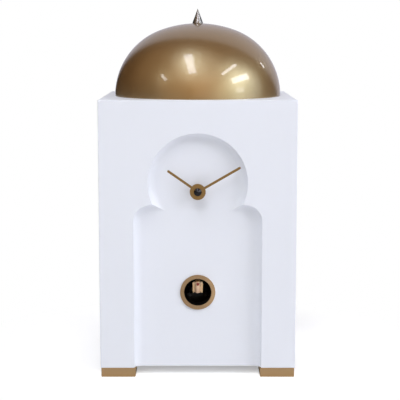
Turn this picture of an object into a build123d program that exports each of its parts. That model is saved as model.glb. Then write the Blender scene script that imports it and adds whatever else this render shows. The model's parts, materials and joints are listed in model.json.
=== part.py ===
from build123d import *
from math import atan2, cos, degrees, pi, radians, sin, sqrt, tan
import os

os.makedirs("parts", exist_ok=True)

# A domed table clock with a bird window. The origin is on the table under the middle of the case,
# +Z is up, and the dial looks towards -Y. All sizes are in millimetres.
# "Forward" places are distances from the middle of the case towards the dial, that is along -Y.

# Case
case_width = 250.0
case_depth = 250.0
case_height = 343.0
board = 12.0
front_thickness = 19.0
back_thickness = 6.0
back_gap = 0.25
edge_round = 1.0
batten = 12.0

# Feet
foot_width = 44.0
foot_height = 12.0
foot_inset = 1.0
foot_screw_radius = 2.0
foot_screw_head_radius = 4.0
foot_screw_head = 3.0
foot_screw_sunk = 3.0
foot_screw_bite = 8.0

# Horseshoe recess of the front board
recess_depth = 11.0
recess_half_width = 81.5
cove_radius = 10.0
arch_radius = 63.2
arch_rise = 10.5
shoulder_radius = 21.0
shoulder_drop = 27.5

# Dial and hands
dial_height = 240.0
minute_reach = 62.1
hour_reach = 46.6
hand_width = 3.0
hand_thickness = 1.2
hub_radius = 10.0
minute_hand_angle = 60.0
hour_hand_angle = 305.0
hand_gap = 1.4
cap_nut_radius = 4.9
cap_nut_height = 3.6
cap_nut_rim = 0.75
cap_nut_tip_radius = 0.3

# Dome and finial
dome_radius = 111.0
dome_height = 96.3
dome_crown = 3.2
dome_wall = 1.5
dome_fit = 0.4
seat_disc_thickness = 8.0
tie_rod_radius = 2.5
tie_rod_grip = 8.0
rod_clearance = 0.2
dome_nut_height = 4.0
dome_nut_half_width = 4.0
dome_nut_flange_radius = 8.0
dome_nut_flange = 1.2
tie_rod_tail = 2.0
finial_radius = 7.1
finial_height = 19.4
finial_rim = 0.6

# Bird window
window_height = 109.0
window_radius = 17.5
ring_radius = 22.5
ring_lip = 2.0
ring_edge_round = 0.5
ring_wall = 1.2
ring_spigot = 7.0
tube_wall = 1.2
tube_flange_radius = 23.3
tube_flange = 2.0
tube_length = 13.0
turned_fit = 0.1

# Clock movement
movement_width = 56.0
movement_depth = 18.0
movement_corner = 4.0
movement_wall = 1.5
gasket_thickness = 1.0
bushing_radius = 4.0
bushing_tail = 1.0
washer_radius = 7.0
washer_thickness = 1.0
bushing_nut_half_width = 6.0
bushing_nut_height = 3.0
hand_standoff = 4.6
arbor_radius = 1.5
arbor_seat_radius = 1.25
arbor_thread_radius = 1.0
arbor_thread_length = 2.0
hour_tube_wall = 0.9
hour_tube_step = 0.2
hour_tube_tail = 0.2
running_fit = 0.1
seat_fit = 0.05
clock_module = 0.5
cannon_teeth = 10
motion_teeth = 30
motion_pinion_teeth = 8
hour_teeth = 32
setting_teeth = 10
centre_teeth = 60
rotor_teeth = 8
gear_thickness = 1.4
gear_gap = 0.4
stud_radius = 1.0
setting_shaft_radius = 1.2
setting_pivot_radius = 0.8
setting_boss_radius = 2.2
setting_knob_radius = 7.0
setting_knob_height = 6.0
setting_knob_sides = 12
step_motor_radius = 8.0
step_motor_gap = 0.5
rotor_shaft_radius = 0.7
rotor_shaft_sunk = 5.0
motor_angle = 315.0
motor_cup_wall = 1.4
motor_cup_height = 3.0

# Tooth form, in shares of the module, with straight flanks
tooth_addendum = 0.75
tooth_dedendum = 1.1
tooth_backlash = 0.14
tooth_flank = 20.0
tooth_root_share = 0.83

# Bird drive
bird_setback = 44.0
bird_travel = 45.0
deck_drop = 24.0
deck_thickness = 3.0
deck_margin = 3.5
flange_half_width = 38.0
flange_top = 31.0
flange_drop = 10.0
flange_thickness = 3.0
flange_notch_gap = 0.7
rib_thickness = 2.5
rib_rise = 26.0
rib_run = 60.0
bridge_thickness = 3.0
bridge_half_width = 14.5
bridge_height = 13.5
rod_drop = 14.0
rod_radius = 1.5
rod_half_spacing = 10.0
stop_gap = 1.0
block_half_width = 17.0
block_height = 10.0
block_length = 16.0
block_front = 20.0
post_half_width = 3.0
post_length = 10.0
arm_radius = 2.5
arm_tip_radius = 1.4
arm_tip_length = 2.0
rack_module = 0.6
rack_width = 3.0
rack_bar = 2.9
rack_margin = 4.0
pinion_teeth = 12
pinion_forward = 42.0
pinion_extra = 1.0
drive_module = 0.5
drive_teeth = 36
drive_pinion_teeth = 10
drive_thickness = 2.0
drive_lift = 1.0
axle_radius = 1.0
axle_sunk = 2.2
pinion_hub_radius = 2.3
bird_motor_radius = 10.0
bird_motor_height = 24.0
bird_motor_hole = 1.3
bird_shaft_radius = 0.8
bird_shaft_sunk = 6.0
end_wall = 3.0
end_wall_height = 30.0
end_wall_gap = 3.0
chassis_screw_radius = 1.2
chassis_screw_head_radius = 2.6
chassis_screw_head = 1.6
chassis_screw_bite = 6.0
chassis_screw_inset = 5.0

# Bird
bird_base_drop = 9.7
bird_base_radius = 2.9
bird_body_radius = 3.3
bird_neck_radius = 2.9
bird_head_radius = 3.6
bird_head_height = 14.2
beak_radius = 1.2
beak_tip_radius = 0.25
beak_length = 3.4
beak_height = 12.4
tail_length = 8.0
tail_half_width = 2.4
tail_thickness = 1.4
tail_root_thickness = 2.8
tail_rise = 2.8
wing_pivot_side = 5.2
wing_pivot_height = 12.5
wing_root_radius = 1.7
wing_length = 12.2
wing_tip_out = 1.5
wing_notch = 1.7
wing_thickness = 2.6
wing_pin_radius = 0.6
wing_pin_tail = 0.5
yoke_thickness = 1.5
yoke_half_height = 1.8
yoke_gap = 0.3

# Controls on the end wall of the bird drive
switch_offset = -9.0
button_offset = 9.0
control_rise = 22.0
switch_knob_length = 4.0
switch_knob_height = 3.0
switch_plate_length = 13.0
switch_plate_height = 6.0
switch_plate_thickness = 1.4
switch_travel = 4.0
control_reach = 3.0
control_fit = 0.2
button_radius = 2.5
button_collar_radius = 3.6
button_collar = 1.0
button_travel = 1.2
contact_gap = 0.3
control_board_thickness = 1.6
control_board_half_width = 19.0
control_board_height = 17.0
standoff_radius = 1.8
standoff_inset = 3.5

# Speaker in the bottom board
speaker_radius = 26.0
speaker_forward = 20.0
speaker_rim = 2.5
speaker_cone_radius = 24.0
speaker_cone_height = 10.0
magnet_radius = 14.0
magnet_height = 8.0
slot_width = 4.0
slot_pitch = 8.0
slot_count = 5
slot_field_radius = 20.0

# Battery tray
cell_radius = 13.1
cell_length = 48.5
cell_nub_radius = 4.0
cell_nub = 1.5
cell_gap = 0.4
tray_wall = 2.0
tray_height = 15.0
tray_side_inset = 51.0
tray_back_inset = 64.0
contact_size = 12.0
contact_thickness = 0.8
contact_fit = 0.3

# Back door, its hinges and its catch
door_frame_side = 28.0
door_frame_bottom = 30.0
door_frame_top = 29.0
door_gap = 1.0
finger_hole_radius = 11.0
finger_hole_inset = 20.0
leaf_thickness = 1.0
leaf_width = 15.0
leaf_screw_inset = 5.7
hinge_height = 30.0
hinge_inset = 45.0
knuckle_radius = 2.2
knuckle_gap = 0.2
hinge_pin_radius = 1.0
hinge_screw_radius = 1.0
hinge_screw_head_radius = 1.9
hinge_screw_bite = 4.0
hinge_screw_half_spacing = 10.0
catch_height = 14.0
catch_nose = 9.0
catch_mount = 12.0
catch_depth = 8.0
strike_thickness = 1.0
strike_width = 9.0

# Screws of the back board
back_screw_radius = 1.5
back_screw_head_radius = 3.0
back_screw_length = 15.0
back_screw_rows = 3
back_screw_end = 30.0
countersink_angle = 90.0

# Places worked out from the sizes above
case_bottom = foot_height
case_top = foot_height + case_height
case_middle = foot_height + case_height / 2
front_face = case_depth / 2
front_inside = front_face - front_thickness
recess_floor = front_face - recess_depth
ring_front = recess_floor + ring_lip
tube_radius = window_radius + tube_wall
spigot_bore = tube_radius + turned_fit
spigot_radius = spigot_bore + ring_wall
side_face = case_width / 2
side_inside = side_face - board
floor_inside = case_bottom + board
ceiling_inside = case_top - board
inner_height = case_height - 2 * board
back_inside = -(case_depth / 2 - back_thickness)
back_face = -case_depth / 2
shell_depth = case_depth - front_thickness
shell_forward = (front_inside + back_face) / 2


def facing(forward):
    """Plane parallel to the dial at a forward place: its own x is +X and its own y is +Z."""
    return Plane.XZ.offset(forward)


def level(height):
    """Level plane at a height above the table: its own x is +X and its own y is +Y."""
    return Plane.XY.offset(height)


def clockwise_point(reach, angle):
    """Place on the dial at a distance from the hands' axis, turned clockwise from twelve."""
    return (reach * sin(radians(angle)), reach * cos(radians(angle)))


def gear_points(teeth, module, phase):
    """Corners of a spur gear with straight flanks, its first tooth at the angle called phase."""
    pitch_radius = teeth * module / 2
    half_tooth = pi * module / 4 * (1 - tooth_backlash)
    flank = tan(radians(tooth_flank))
    tip_radius = pitch_radius + tooth_addendum * module
    root_radius = pitch_radius - tooth_dedendum * module
    tip_half = degrees((half_tooth - tooth_addendum * module * flank) / tip_radius)
    root_reach = (half_tooth + tooth_dedendum * module * flank) / root_radius
    root_half = min(degrees(root_reach), 180 * tooth_root_share / teeth)
    points = []
    for tooth in range(teeth):
        middle = phase + 360 * tooth / teeth
        for radius, turn in (
            (root_radius, -root_half),
            (tip_radius, -tip_half),
            (tip_radius, tip_half),
            (root_radius, root_half),
        ):
            angle = radians(middle + turn)
            points.append((radius * cos(angle), radius * sin(angle)))
    return points


def meshing_phase(bearing, phase, teeth, other_teeth):
    """Phase of the second gear of a pair, which stands at a bearing from the first one."""
    offset = (bearing - phase) * teeth / 360
    return bearing + 180 + (offset - 0.5) * 360 / other_teeth


# Front board with its horseshoe recess, open at the bottom
deck_top = window_height - deck_drop
deck_bottom = deck_top - deck_thickness
flange_bottom = deck_bottom - flange_drop
flange_height = window_height + flange_top - flange_bottom
flange_middle = flange_bottom + flange_height / 2
flange_screw_span = 2 * (flange_half_width - chassis_screw_inset)
flange_screw_rise = flange_height - 2 * chassis_screw_inset
arch_centre = dial_height + arch_rise
shoulder_top = arch_centre - shoulder_drop
cusp_side = sqrt(arch_radius**2 - shoulder_drop**2)
shoulder_side = recess_half_width - shoulder_radius

with BuildPart() as front_panel:
    with BuildSketch(facing(front_inside)):
        with Locations((0, case_middle)):
            Rectangle(case_width, case_height)
    extrude(amount=front_thickness)
    fillet(front_panel.faces().sort_by(Axis.Y)[0].edges(), edge_round)
    with BuildSketch(facing(front_face)):
        with BuildLine():
            Line((-recess_half_width, case_bottom), (recess_half_width, case_bottom))
            Line((recess_half_width, case_bottom), (recess_half_width, shoulder_top - shoulder_radius))
            CenterArc((shoulder_side, shoulder_top - shoulder_radius), shoulder_radius, 0, 90)
            Line((shoulder_side, shoulder_top), (cusp_side, shoulder_top))
            ThreePointArc(
                (cusp_side, shoulder_top),
                (0, arch_centre + arch_radius),
                (-cusp_side, shoulder_top),
            )
            Line((-cusp_side, shoulder_top), (-shoulder_side, shoulder_top))
            CenterArc((-shoulder_side, shoulder_top - shoulder_radius), shoulder_radius, 90, 90)
            Line((-recess_half_width, shoulder_top - shoulder_radius), (-recess_half_width, case_bottom))
        make_face()
    extrude(amount=-recess_depth, mode=Mode.SUBTRACT)
    level_faces = front_panel.faces().filter_by(Axis.Y)
    recess_face = level_faces.sort_by(lambda face: abs(face.center().Y + recess_floor))[0]
    cove_edges = recess_face.edges().filter_by(lambda edge: edge.center().Z > case_bottom + edge_round)
    fillet(cove_edges, cove_radius)
    with BuildSketch(facing(front_inside)):
        with Locations((0, dial_height)):
            Circle(bushing_radius + turned_fit)
        with Locations((0, window_height)):
            Circle(spigot_radius + turned_fit)
    extrude(amount=front_thickness, mode=Mode.SUBTRACT)
    with BuildSketch(facing(front_inside)):
        with Locations((0, flange_middle)):
            with GridLocations(flange_screw_span, flange_screw_rise, 2, 2):
                Circle(chassis_screw_radius)
    extrude(amount=chassis_screw_bite, mode=Mode.SUBTRACT)
front_panel.part.label = "front_panel"
export_step(front_panel.part, "parts/front_panel.step")

# Side boards, between the front board and the back of the case
for side_name, side_sign in (("left", -1), ("right", 1)):
    with BuildPart() as side_panel:
        with BuildSketch(level(floor_inside)):
            with Locations((side_sign * (side_face - board / 2), -shell_forward)):
                Rectangle(board, shell_depth)
        extrude(amount=inner_height)
        back_edges = side_panel.edges().filter_by(Axis.Z).group_by(Axis.Y)[-1]
        fillet(back_edges.sort_by(Axis.X)[-1 if side_sign > 0 else 0], edge_round)
    side_panel.part.label = f"{side_name}_side_panel"
    export_step(side_panel.part, f"parts/{side_name}_side_panel.step")

# Top board, which carries the dome
with BuildPart() as top_panel:
    with BuildSketch(level(ceiling_inside)):
        with Locations((0, -shell_forward)):
            Rectangle(case_width, shell_depth)
    extrude(amount=board)
    outer_corners = top_panel.edges().filter_by(Axis.Z).group_by(Axis.Y)[-1]
    fillet(outer_corners, edge_round)
    top_edges = top_panel.faces().sort_by(Axis.Z)[-1].edges()
    fillet(top_edges.filter_by(lambda edge: edge.center().Y > -front_inside + edge_round), edge_round)
    with BuildSketch(level(case_top)):
        Circle(tie_rod_radius + rod_clearance)
    extrude(amount=-board, mode=Mode.SUBTRACT)
top_panel.part.label = "top_panel"
export_step(top_panel.part, "parts/top_panel.step")

# Bottom board with sound slots under the speaker and pilot holes for the foot screws
foot_middle = case_width / 2 - foot_inset - foot_width / 2
foot_middle_deep = case_depth / 2 - foot_inset - foot_width / 2

with BuildPart() as bottom_panel:
    with BuildSketch(level(case_bottom)):
        with Locations((0, -shell_forward)):
            Rectangle(case_width, shell_depth)
    extrude(amount=board)
    fillet(bottom_panel.edges().filter_by(Axis.Z).group_by(Axis.Y)[-1], edge_round)
    with BuildSketch(level(case_bottom)):
        for slot in range(slot_count):
            slot_side = (slot - (slot_count - 1) / 2) * slot_pitch
            slot_length = 2 * sqrt(slot_field_radius**2 - slot_side**2)
            with Locations((slot_side, -speaker_forward)):
                SlotOverall(slot_length, slot_width, rotation=90)
    extrude(amount=board, mode=Mode.SUBTRACT)
    with BuildSketch(level(case_bottom)):
        with GridLocations(2 * foot_middle, 2 * foot_middle_deep, 2, 2):
            Circle(foot_screw_radius)
    extrude(amount=foot_screw_bite, mode=Mode.SUBTRACT)
bottom_panel.part.label = "bottom_panel"
export_step(bottom_panel.part, "parts/bottom_panel.step")

# Four foot blocks, each held by one screw from below
for depth_name, depth_sign in (("front", -1), ("rear", 1)):
    for side_name, side_sign in (("left", -1), ("right", 1)):
        foot_place = (side_sign * foot_middle, depth_sign * foot_middle_deep)
        with BuildPart() as foot:
            with BuildSketch(level(0)):
                with Locations(foot_place):
                    Rectangle(foot_width, foot_width)
            extrude(amount=foot_height)
            fillet(foot.edges().filter_by(Axis.Z), edge_round)
            with BuildSketch(level(0)):
                with Locations(foot_place):
                    Circle(foot_screw_head_radius + turned_fit)
            extrude(amount=foot_screw_sunk + foot_screw_head, mode=Mode.SUBTRACT)
            with BuildSketch(level(0)):
                with Locations(foot_place):
                    Circle(foot_screw_radius + turned_fit)
            extrude(amount=foot_height, mode=Mode.SUBTRACT)
        foot.part.label = f"{depth_name}_{side_name}_foot"
        export_step(foot.part, f"parts/{depth_name}_{side_name}_foot.step")

with BuildPart() as foot_screws:
    with BuildSketch(level(foot_screw_sunk)):
        with GridLocations(2 * foot_middle, 2 * foot_middle_deep, 2, 2):
            Circle(foot_screw_head_radius)
    extrude(amount=foot_screw_head)
    with BuildSketch(level(foot_screw_sunk + foot_screw_head)):
        with GridLocations(2 * foot_middle, 2 * foot_middle_deep, 2, 2):
            Circle(foot_screw_radius)
    extrude(amount=foot_height + foot_screw_bite - foot_screw_sunk - foot_screw_head)
foot_screws.part.label = "foot_screws"
export_step(foot_screws.part, "parts/foot_screws.step")

# Corner battens, which take the screws of the back board
batten_side = side_inside - batten / 2
back_screw_rise = (inner_height - 2 * back_screw_end) / (back_screw_rows - 1)
batten_front = front_inside - batten / 2
batten_back = -back_inside - batten / 2

with BuildPart() as corner_battens:
    with BuildSketch(level(floor_inside)):
        with Locations((0, -batten_front), (0, batten_back)):
            with GridLocations(2 * batten_side, 0, 2, 1):
                Rectangle(batten, batten)
    extrude(amount=inner_height)
    with BuildSketch(facing(back_inside)):
        with Locations((0, case_middle)):
            with GridLocations(2 * batten_side, back_screw_rise, 2, back_screw_rows):
                Circle(back_screw_radius)
    extrude(amount=back_screw_length - back_thickness, mode=Mode.SUBTRACT)
corner_battens.part.label = "corner_battens"
export_step(corner_battens.part, "parts/corner_battens.step")

# Back board with the window that the door closes
door_window_half_width = side_inside - door_frame_side
door_window_bottom = floor_inside + door_frame_bottom
door_window_height = inner_height - door_frame_bottom - door_frame_top
door_window_middle = door_window_bottom + door_window_height / 2
hinge_axis_side = -(door_window_half_width - door_gap / 2)
hinge_axis_forward = back_face - knuckle_radius
hinge_middles = (
    door_window_bottom + hinge_inset,
    door_window_bottom + door_window_height - hinge_inset,
)
leaf_screw_side = leaf_width - leaf_screw_inset

with BuildPart() as back_panel:
    with BuildSketch(facing(back_inside)):
        with Locations((0, case_middle)):
            Rectangle(2 * (side_inside - back_gap), inner_height - 2 * back_gap)
        with Locations((0, door_window_middle)):
            Rectangle(2 * door_window_half_width, door_window_height, mode=Mode.SUBTRACT)
    extrude(amount=-back_thickness)
    with Locations(Plane(origin=(0, -back_face, case_middle), x_dir=(1, 0, 0), z_dir=(0, 1, 0))):
        with GridLocations(2 * batten_side, back_screw_rise, 2, back_screw_rows):
            CounterSinkHole(
                back_screw_radius + turned_fit,
                back_screw_head_radius + turned_fit,
                back_thickness,
                countersink_angle,
            )
    with BuildSketch(facing(back_face)):
        for hinge_middle in hinge_middles:
            with Locations((hinge_axis_side - leaf_screw_side, hinge_middle)):
                with GridLocations(0, 2 * hinge_screw_half_spacing, 1, 2):
                    Circle(hinge_screw_radius)
    extrude(amount=hinge_screw_bite, mode=Mode.SUBTRACT)
back_panel.part.label = "back_panel"
export_step(back_panel.part, "parts/back_panel.step")

back_screw_cone = back_screw_head_radius - back_screw_radius

with BuildPart() as back_panel_screws:
    with BuildSketch(facing(back_face)):
        with Locations((0, case_middle)):
            with GridLocations(2 * batten_side, back_screw_rise, 2, back_screw_rows):
                Circle(back_screw_head_radius)
    extrude(amount=back_screw_cone, taper=countersink_angle / 2)
    with BuildSketch(facing(back_face)):
        with Locations((0, case_middle)):
            with GridLocations(2 * batten_side, back_screw_rise, 2, back_screw_rows):
                Circle(back_screw_radius)
    extrude(amount=back_screw_length)
back_panel_screws.part.label = "back_panel_screws"
export_step(back_panel_screws.part, "parts/back_panel_screws.step")

# Back door with a finger hole
door_half_width = door_window_half_width - door_gap
door_height = door_window_height - 2 * door_gap
finger_hole_side = door_half_width - finger_hole_inset

with BuildPart() as rear_door:
    with BuildSketch(facing(back_inside)):
        with Locations((0, door_window_middle)):
            Rectangle(2 * door_half_width, door_height)
        with Locations((finger_hole_side, door_window_middle)):
            Circle(finger_hole_radius, mode=Mode.SUBTRACT)
    extrude(amount=-back_thickness)
    with BuildSketch(facing(back_face)):
        for hinge_middle in hinge_middles:
            with Locations((hinge_axis_side + leaf_screw_side, hinge_middle)):
                with GridLocations(0, 2 * hinge_screw_half_spacing, 1, 2):
                    Circle(hinge_screw_radius)
    extrude(amount=hinge_screw_bite, mode=Mode.SUBTRACT)
rear_door.part.label = "rear_door"
export_step(rear_door.part, "parts/rear_door.step")

# Two butt hinges: each leaf lies on the back face, and three knuckles share one pin
knuckle_height = (hinge_height - 2 * knuckle_gap) / 3


def hinge_leaves(side_sign, knuckle_shifts, part_label):
    """The leaves of both hinges on one side of the pin, with their knuckles at the given heights."""
    leaf_middle = hinge_axis_side + side_sign * leaf_width / 2
    with BuildPart() as leaves:
        for hinge_middle in hinge_middles:
            for shift in knuckle_shifts:
                knuckle_low = hinge_middle + shift - knuckle_height / 2
                with BuildSketch(level(knuckle_low)):
                    with Locations((hinge_axis_side, -hinge_axis_forward)):
                        Circle(knuckle_radius)
                    with Locations((leaf_middle, -back_face + leaf_thickness / 2)):
                        Rectangle(leaf_width, leaf_thickness)
                extrude(amount=knuckle_height)
            plate_start = knuckle_radius + knuckle_gap
            plate_middle = hinge_axis_side + side_sign * (plate_start + leaf_width) / 2
            with BuildSketch(level(hinge_middle - hinge_height / 2)):
                with Locations((plate_middle, -back_face + leaf_thickness / 2)):
                    Rectangle(leaf_width - plate_start, leaf_thickness)
            extrude(amount=hinge_height)
            with BuildSketch(level(hinge_middle - hinge_height / 2)):
                with Locations((hinge_axis_side, -hinge_axis_forward)):
                    Circle(hinge_pin_radius + seat_fit)
            extrude(amount=hinge_height, mode=Mode.SUBTRACT)
            with BuildSketch(facing(back_face)):
                with Locations((hinge_axis_side + side_sign * leaf_screw_side, hinge_middle)):
                    with GridLocations(0, 2 * hinge_screw_half_spacing, 1, 2):
                        Circle(hinge_screw_radius + turned_fit)
            extrude(amount=-leaf_thickness, mode=Mode.SUBTRACT)
    leaves.part.label = part_label
    export_step(leaves.part, f"parts/{part_label}.step")


def hinge_screws(side_sign, part_label):
    """Round-headed screws of both hinge leaves on one side of the pin."""
    with BuildPart() as screws:
        for plane_forward, radius, amount in (
            (back_face - leaf_thickness, hinge_screw_head_radius, -hinge_screw_radius),
            (back_face - leaf_thickness, hinge_screw_radius, leaf_thickness + hinge_screw_bite),
        ):
            with BuildSketch(facing(plane_forward)):
                for hinge_middle in hinge_middles:
                    with Locations((hinge_axis_side + side_sign * leaf_screw_side, hinge_middle)):
                        with GridLocations(0, 2 * hinge_screw_half_spacing, 1, 2):
                            Circle(radius)
            extrude(amount=amount)
    screws.part.label = part_label
    export_step(screws.part, f"parts/{part_label}.step")


knuckle_step = knuckle_height + knuckle_gap
hinge_leaves(-1, (-knuckle_step, knuckle_step), "hinge_frame_leaves")
hinge_leaves(1, (0,), "hinge_door_leaves")
hinge_screws(-1, "hinge_frame_screws")
hinge_screws(1, "hinge_door_screws")

with BuildPart() as hinge_pins:
    for hinge_middle in hinge_middles:
        with BuildSketch(level(hinge_middle - hinge_height / 2)):
            with Locations((hinge_axis_side, -hinge_axis_forward)):
                Circle(hinge_pin_radius)
        extrude(amount=hinge_height)
hinge_pins.part.label = "hinge_pins"
export_step(hinge_pins.part, "parts/hinge_pins.step")

# Magnet catch: its nose reaches behind the door and stops it, with a steel strike on the door
with BuildPart() as door_magnet:
    with BuildSketch(facing(back_inside)):
        with Locations((door_window_half_width + catch_mount / 2, door_window_middle)):
            Rectangle(catch_mount, catch_height)
    extrude(amount=catch_depth)
    with BuildSketch(facing(back_inside + strike_thickness)):
        with Locations((door_window_half_width - catch_nose / 2, door_window_middle)):
            Rectangle(catch_nose, catch_height)
    extrude(amount=catch_depth - strike_thickness)
door_magnet.part.label = "door_magnet"
export_step(door_magnet.part, "parts/door_magnet.step")

with BuildPart() as door_strike:
    with BuildSketch(facing(back_inside)):
        with Locations((door_half_width - strike_width / 2, door_window_middle)):
            Rectangle(strike_width, catch_height)
    extrude(amount=strike_thickness)
door_strike.part.label = "door_strike"
export_step(door_strike.part, "parts/door_strike.step")

# Dome: two tangent arcs, a wide crown over a tighter shoulder, spun to a thin shell
dome_top = case_top + dome_height
dome_shoulder = dome_height - dome_crown
shoulder_centre = dome_radius - dome_shoulder
crown_radius = (shoulder_centre**2 + dome_height**2 - dome_shoulder**2) / (2 * dome_crown)
crown_centre = dome_top - crown_radius
tangent_turn = atan2(case_top - crown_centre, shoulder_centre)


def dome_join(inward):
    """Where the shoulder arc meets the crown arc, as radius and height, on a skin set inward."""
    return (
        shoulder_centre + (dome_shoulder - inward) * cos(tangent_turn),
        case_top + (dome_shoulder - inward) * sin(tangent_turn),
    )


def dome_middle(start_turn, end_turn, centre_radius, centre_height, radius):
    """Middle point of an arc of the dome's outline."""
    turn = (start_turn + end_turn) / 2
    return (centre_radius + radius * cos(turn), centre_height + radius * sin(turn))


rod_hole = tie_rod_radius + rod_clearance

with BuildPart() as dome_shell:
    with BuildSketch(Plane.XZ):
        with BuildLine():
            Line((dome_radius - dome_wall, case_top), (dome_radius, case_top))
            ThreePointArc(
                (dome_radius, case_top),
                dome_middle(0, tangent_turn, shoulder_centre, case_top, dome_shoulder),
                dome_join(0),
            )
            ThreePointArc(
                dome_join(0),
                dome_middle(tangent_turn, pi / 2, 0, crown_centre, crown_radius),
                (0, dome_top),
            )
            Line((0, dome_top), (0, dome_top - dome_wall))
            ThreePointArc(
                (0, dome_top - dome_wall),
                dome_middle(tangent_turn, pi / 2, 0, crown_centre, crown_radius - dome_wall),
                dome_join(dome_wall),
            )
            ThreePointArc(
                dome_join(dome_wall),
                dome_middle(0, tangent_turn, shoulder_centre, case_top, dome_shoulder - dome_wall),
                (dome_radius - dome_wall, case_top),
            )
        make_face()
    revolve(axis=Axis.Z)
    with BuildSketch(level(case_top)):
        Circle(rod_hole)
    extrude(amount=dome_height, mode=Mode.SUBTRACT)
dome_shell.part.label = "dome_shell"
export_step(dome_shell.part, "parts/dome_shell.step")

# Disc that centres the dome on the top board
seat_arc_radius = dome_shoulder - dome_wall
seat_disc_radius = shoulder_centre + sqrt(seat_arc_radius**2 - seat_disc_thickness**2) - dome_fit

with BuildPart() as dome_seat_disc:
    with BuildSketch(level(case_top)):
        Circle(seat_disc_radius)
        Circle(rod_hole, mode=Mode.SUBTRACT)
    extrude(amount=seat_disc_thickness)
dome_seat_disc.part.label = "dome_seat_disc"
export_step(dome_seat_disc.part, "parts/dome_seat_disc.step")

# Tie rod, its nut under the top board, and the finial that screws down on the dome
nut_bottom = ceiling_inside - dome_nut_flange - dome_nut_height

with BuildPart() as dome_tie_rod:
    with BuildSketch(level(nut_bottom - tie_rod_tail)):
        Circle(tie_rod_radius)
    extrude(amount=dome_top + tie_rod_grip - nut_bottom + tie_rod_tail)
dome_tie_rod.part.label = "dome_tie_rod"
export_step(dome_tie_rod.part, "parts/dome_tie_rod.step")

with BuildPart() as dome_nut:
    with BuildSketch(level(ceiling_inside)):
        Circle(dome_nut_flange_radius)
    extrude(amount=-dome_nut_flange)
    with BuildSketch(level(nut_bottom)):
        RegularPolygon(dome_nut_half_width, 6, major_radius=False)
    extrude(amount=dome_nut_height)
    with BuildSketch(level(nut_bottom)):
        Circle(tie_rod_radius + seat_fit)
    extrude(amount=dome_nut_height + dome_nut_flange, mode=Mode.SUBTRACT)
dome_nut.part.label = "dome_nut"
export_step(dome_nut.part, "parts/dome_nut.step")

with BuildPart() as finial:
    with BuildSketch(Plane.XZ):
        with BuildLine():
            Polyline(
                (0, dome_top),
                (finial_radius, dome_top),
                (finial_radius, dome_top + finial_rim),
                (0, dome_top + finial_height),
                close=True,
            )
        make_face()
    revolve(axis=Axis.Z)
    with BuildSketch(level(dome_top)):
        Circle(tie_rod_radius + seat_fit)
    extrude(amount=tie_rod_grip + turned_fit, mode=Mode.SUBTRACT)
finial.part.label = "finial"
export_step(finial.part, "parts/finial.step")

# Bird window: a turned ring in the front board, and a dark tube that reaches forward to its lip
with BuildPart() as window_ring:
    with BuildSketch(facing(recess_floor)):
        with Locations((0, window_height)):
            Circle(ring_radius)
            Circle(window_radius, mode=Mode.SUBTRACT)
    extrude(amount=ring_lip)
    fillet(window_ring.faces().sort_by(Axis.Y)[0].edges(), ring_edge_round)
    with BuildSketch(facing(recess_floor)):
        with Locations((0, window_height)):
            Circle(spigot_radius)
            Circle(spigot_bore, mode=Mode.SUBTRACT)
    extrude(amount=-ring_spigot)
window_ring.part.label = "window_ring"
export_step(window_ring.part, "parts/window_ring.step")

with BuildPart() as window_tube:
    with BuildSketch(facing(front_inside)):
        with Locations((0, window_height)):
            Circle(tube_flange_radius)
    extrude(amount=-tube_flange)
    with BuildSketch(facing(front_inside - tube_length)):
        with Locations((0, window_height)):
            Circle(tube_radius)
    extrude(amount=tube_length + recess_floor - front_inside)
    with BuildSketch(facing(front_inside - tube_length)):
        with Locations((0, window_height)):
            Circle(window_radius)
    extrude(amount=tube_length + recess_floor - front_inside, mode=Mode.SUBTRACT)
window_tube.part.label = "window_tube"
export_step(window_tube.part, "parts/window_tube.step")

# Clock movement: layers of gears count back from the front wall of its housing
movement_front = front_inside - gasket_thickness
movement_back = movement_front - movement_depth
movement_split = movement_front - movement_depth / 2
movement_inner_front = movement_front - movement_wall
movement_inner_back = movement_back + movement_wall
layer_step = gear_thickness + gear_gap
hour_layer = movement_inner_front - gear_gap
motion_layer = hour_layer - layer_step
centre_layer = motion_layer - layer_step
bushing_end = recess_floor + washer_thickness + bushing_nut_height + bushing_tail
hour_hand_back = bushing_end + hand_standoff
hour_tube_front = hour_hand_back + hand_thickness + hour_tube_tail
minute_hand_back = hour_hand_back + hand_thickness + hand_gap
cap_nut_back = minute_hand_back + hand_thickness
motion_distance = clock_module * (cannon_teeth + motion_teeth) / 2
setting_distance = motion_distance + clock_module * (motion_teeth + setting_teeth) / 2
rotor_distance = clock_module * (centre_teeth + rotor_teeth) / 2
motion_place = (0, dial_height - motion_distance)
setting_place = (0, dial_height - setting_distance)
rotor_shift = clockwise_point(rotor_distance, motor_angle)
rotor_place = (rotor_shift[0], dial_height + rotor_shift[1])
hour_tube_bore = arbor_radius + running_fit
hour_tube_radius = hour_tube_bore + hour_tube_wall
bushing_bore = hour_tube_radius + running_fit
hour_seat_radius = hour_tube_radius - hour_tube_step

# Gear phases, so that every pair meshes: seen from the front, angles turn anticlockwise from +X
cannon_phase = 90.0
motion_phase = meshing_phase(270, cannon_phase, cannon_teeth, motion_teeth)
setting_phase = meshing_phase(270, motion_phase, motion_teeth, setting_teeth)
motion_pinion_phase = 90.0
hour_phase = meshing_phase(90, motion_pinion_phase, motion_pinion_teeth, hour_teeth)
rotor_bearing = 90 - motor_angle
centre_phase = 90.0
rotor_phase = meshing_phase(rotor_bearing, centre_phase, centre_teeth, rotor_teeth)

with BuildPart() as movement_gasket:
    with BuildSketch(facing(movement_front)):
        with Locations((0, dial_height)):
            RectangleRounded(movement_width, movement_width, movement_corner)
            Circle(bushing_radius + turned_fit, mode=Mode.SUBTRACT)
    extrude(amount=gasket_thickness)
movement_gasket.part.label = "movement_gasket"
export_step(movement_gasket.part, "parts/movement_gasket.step")

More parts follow.
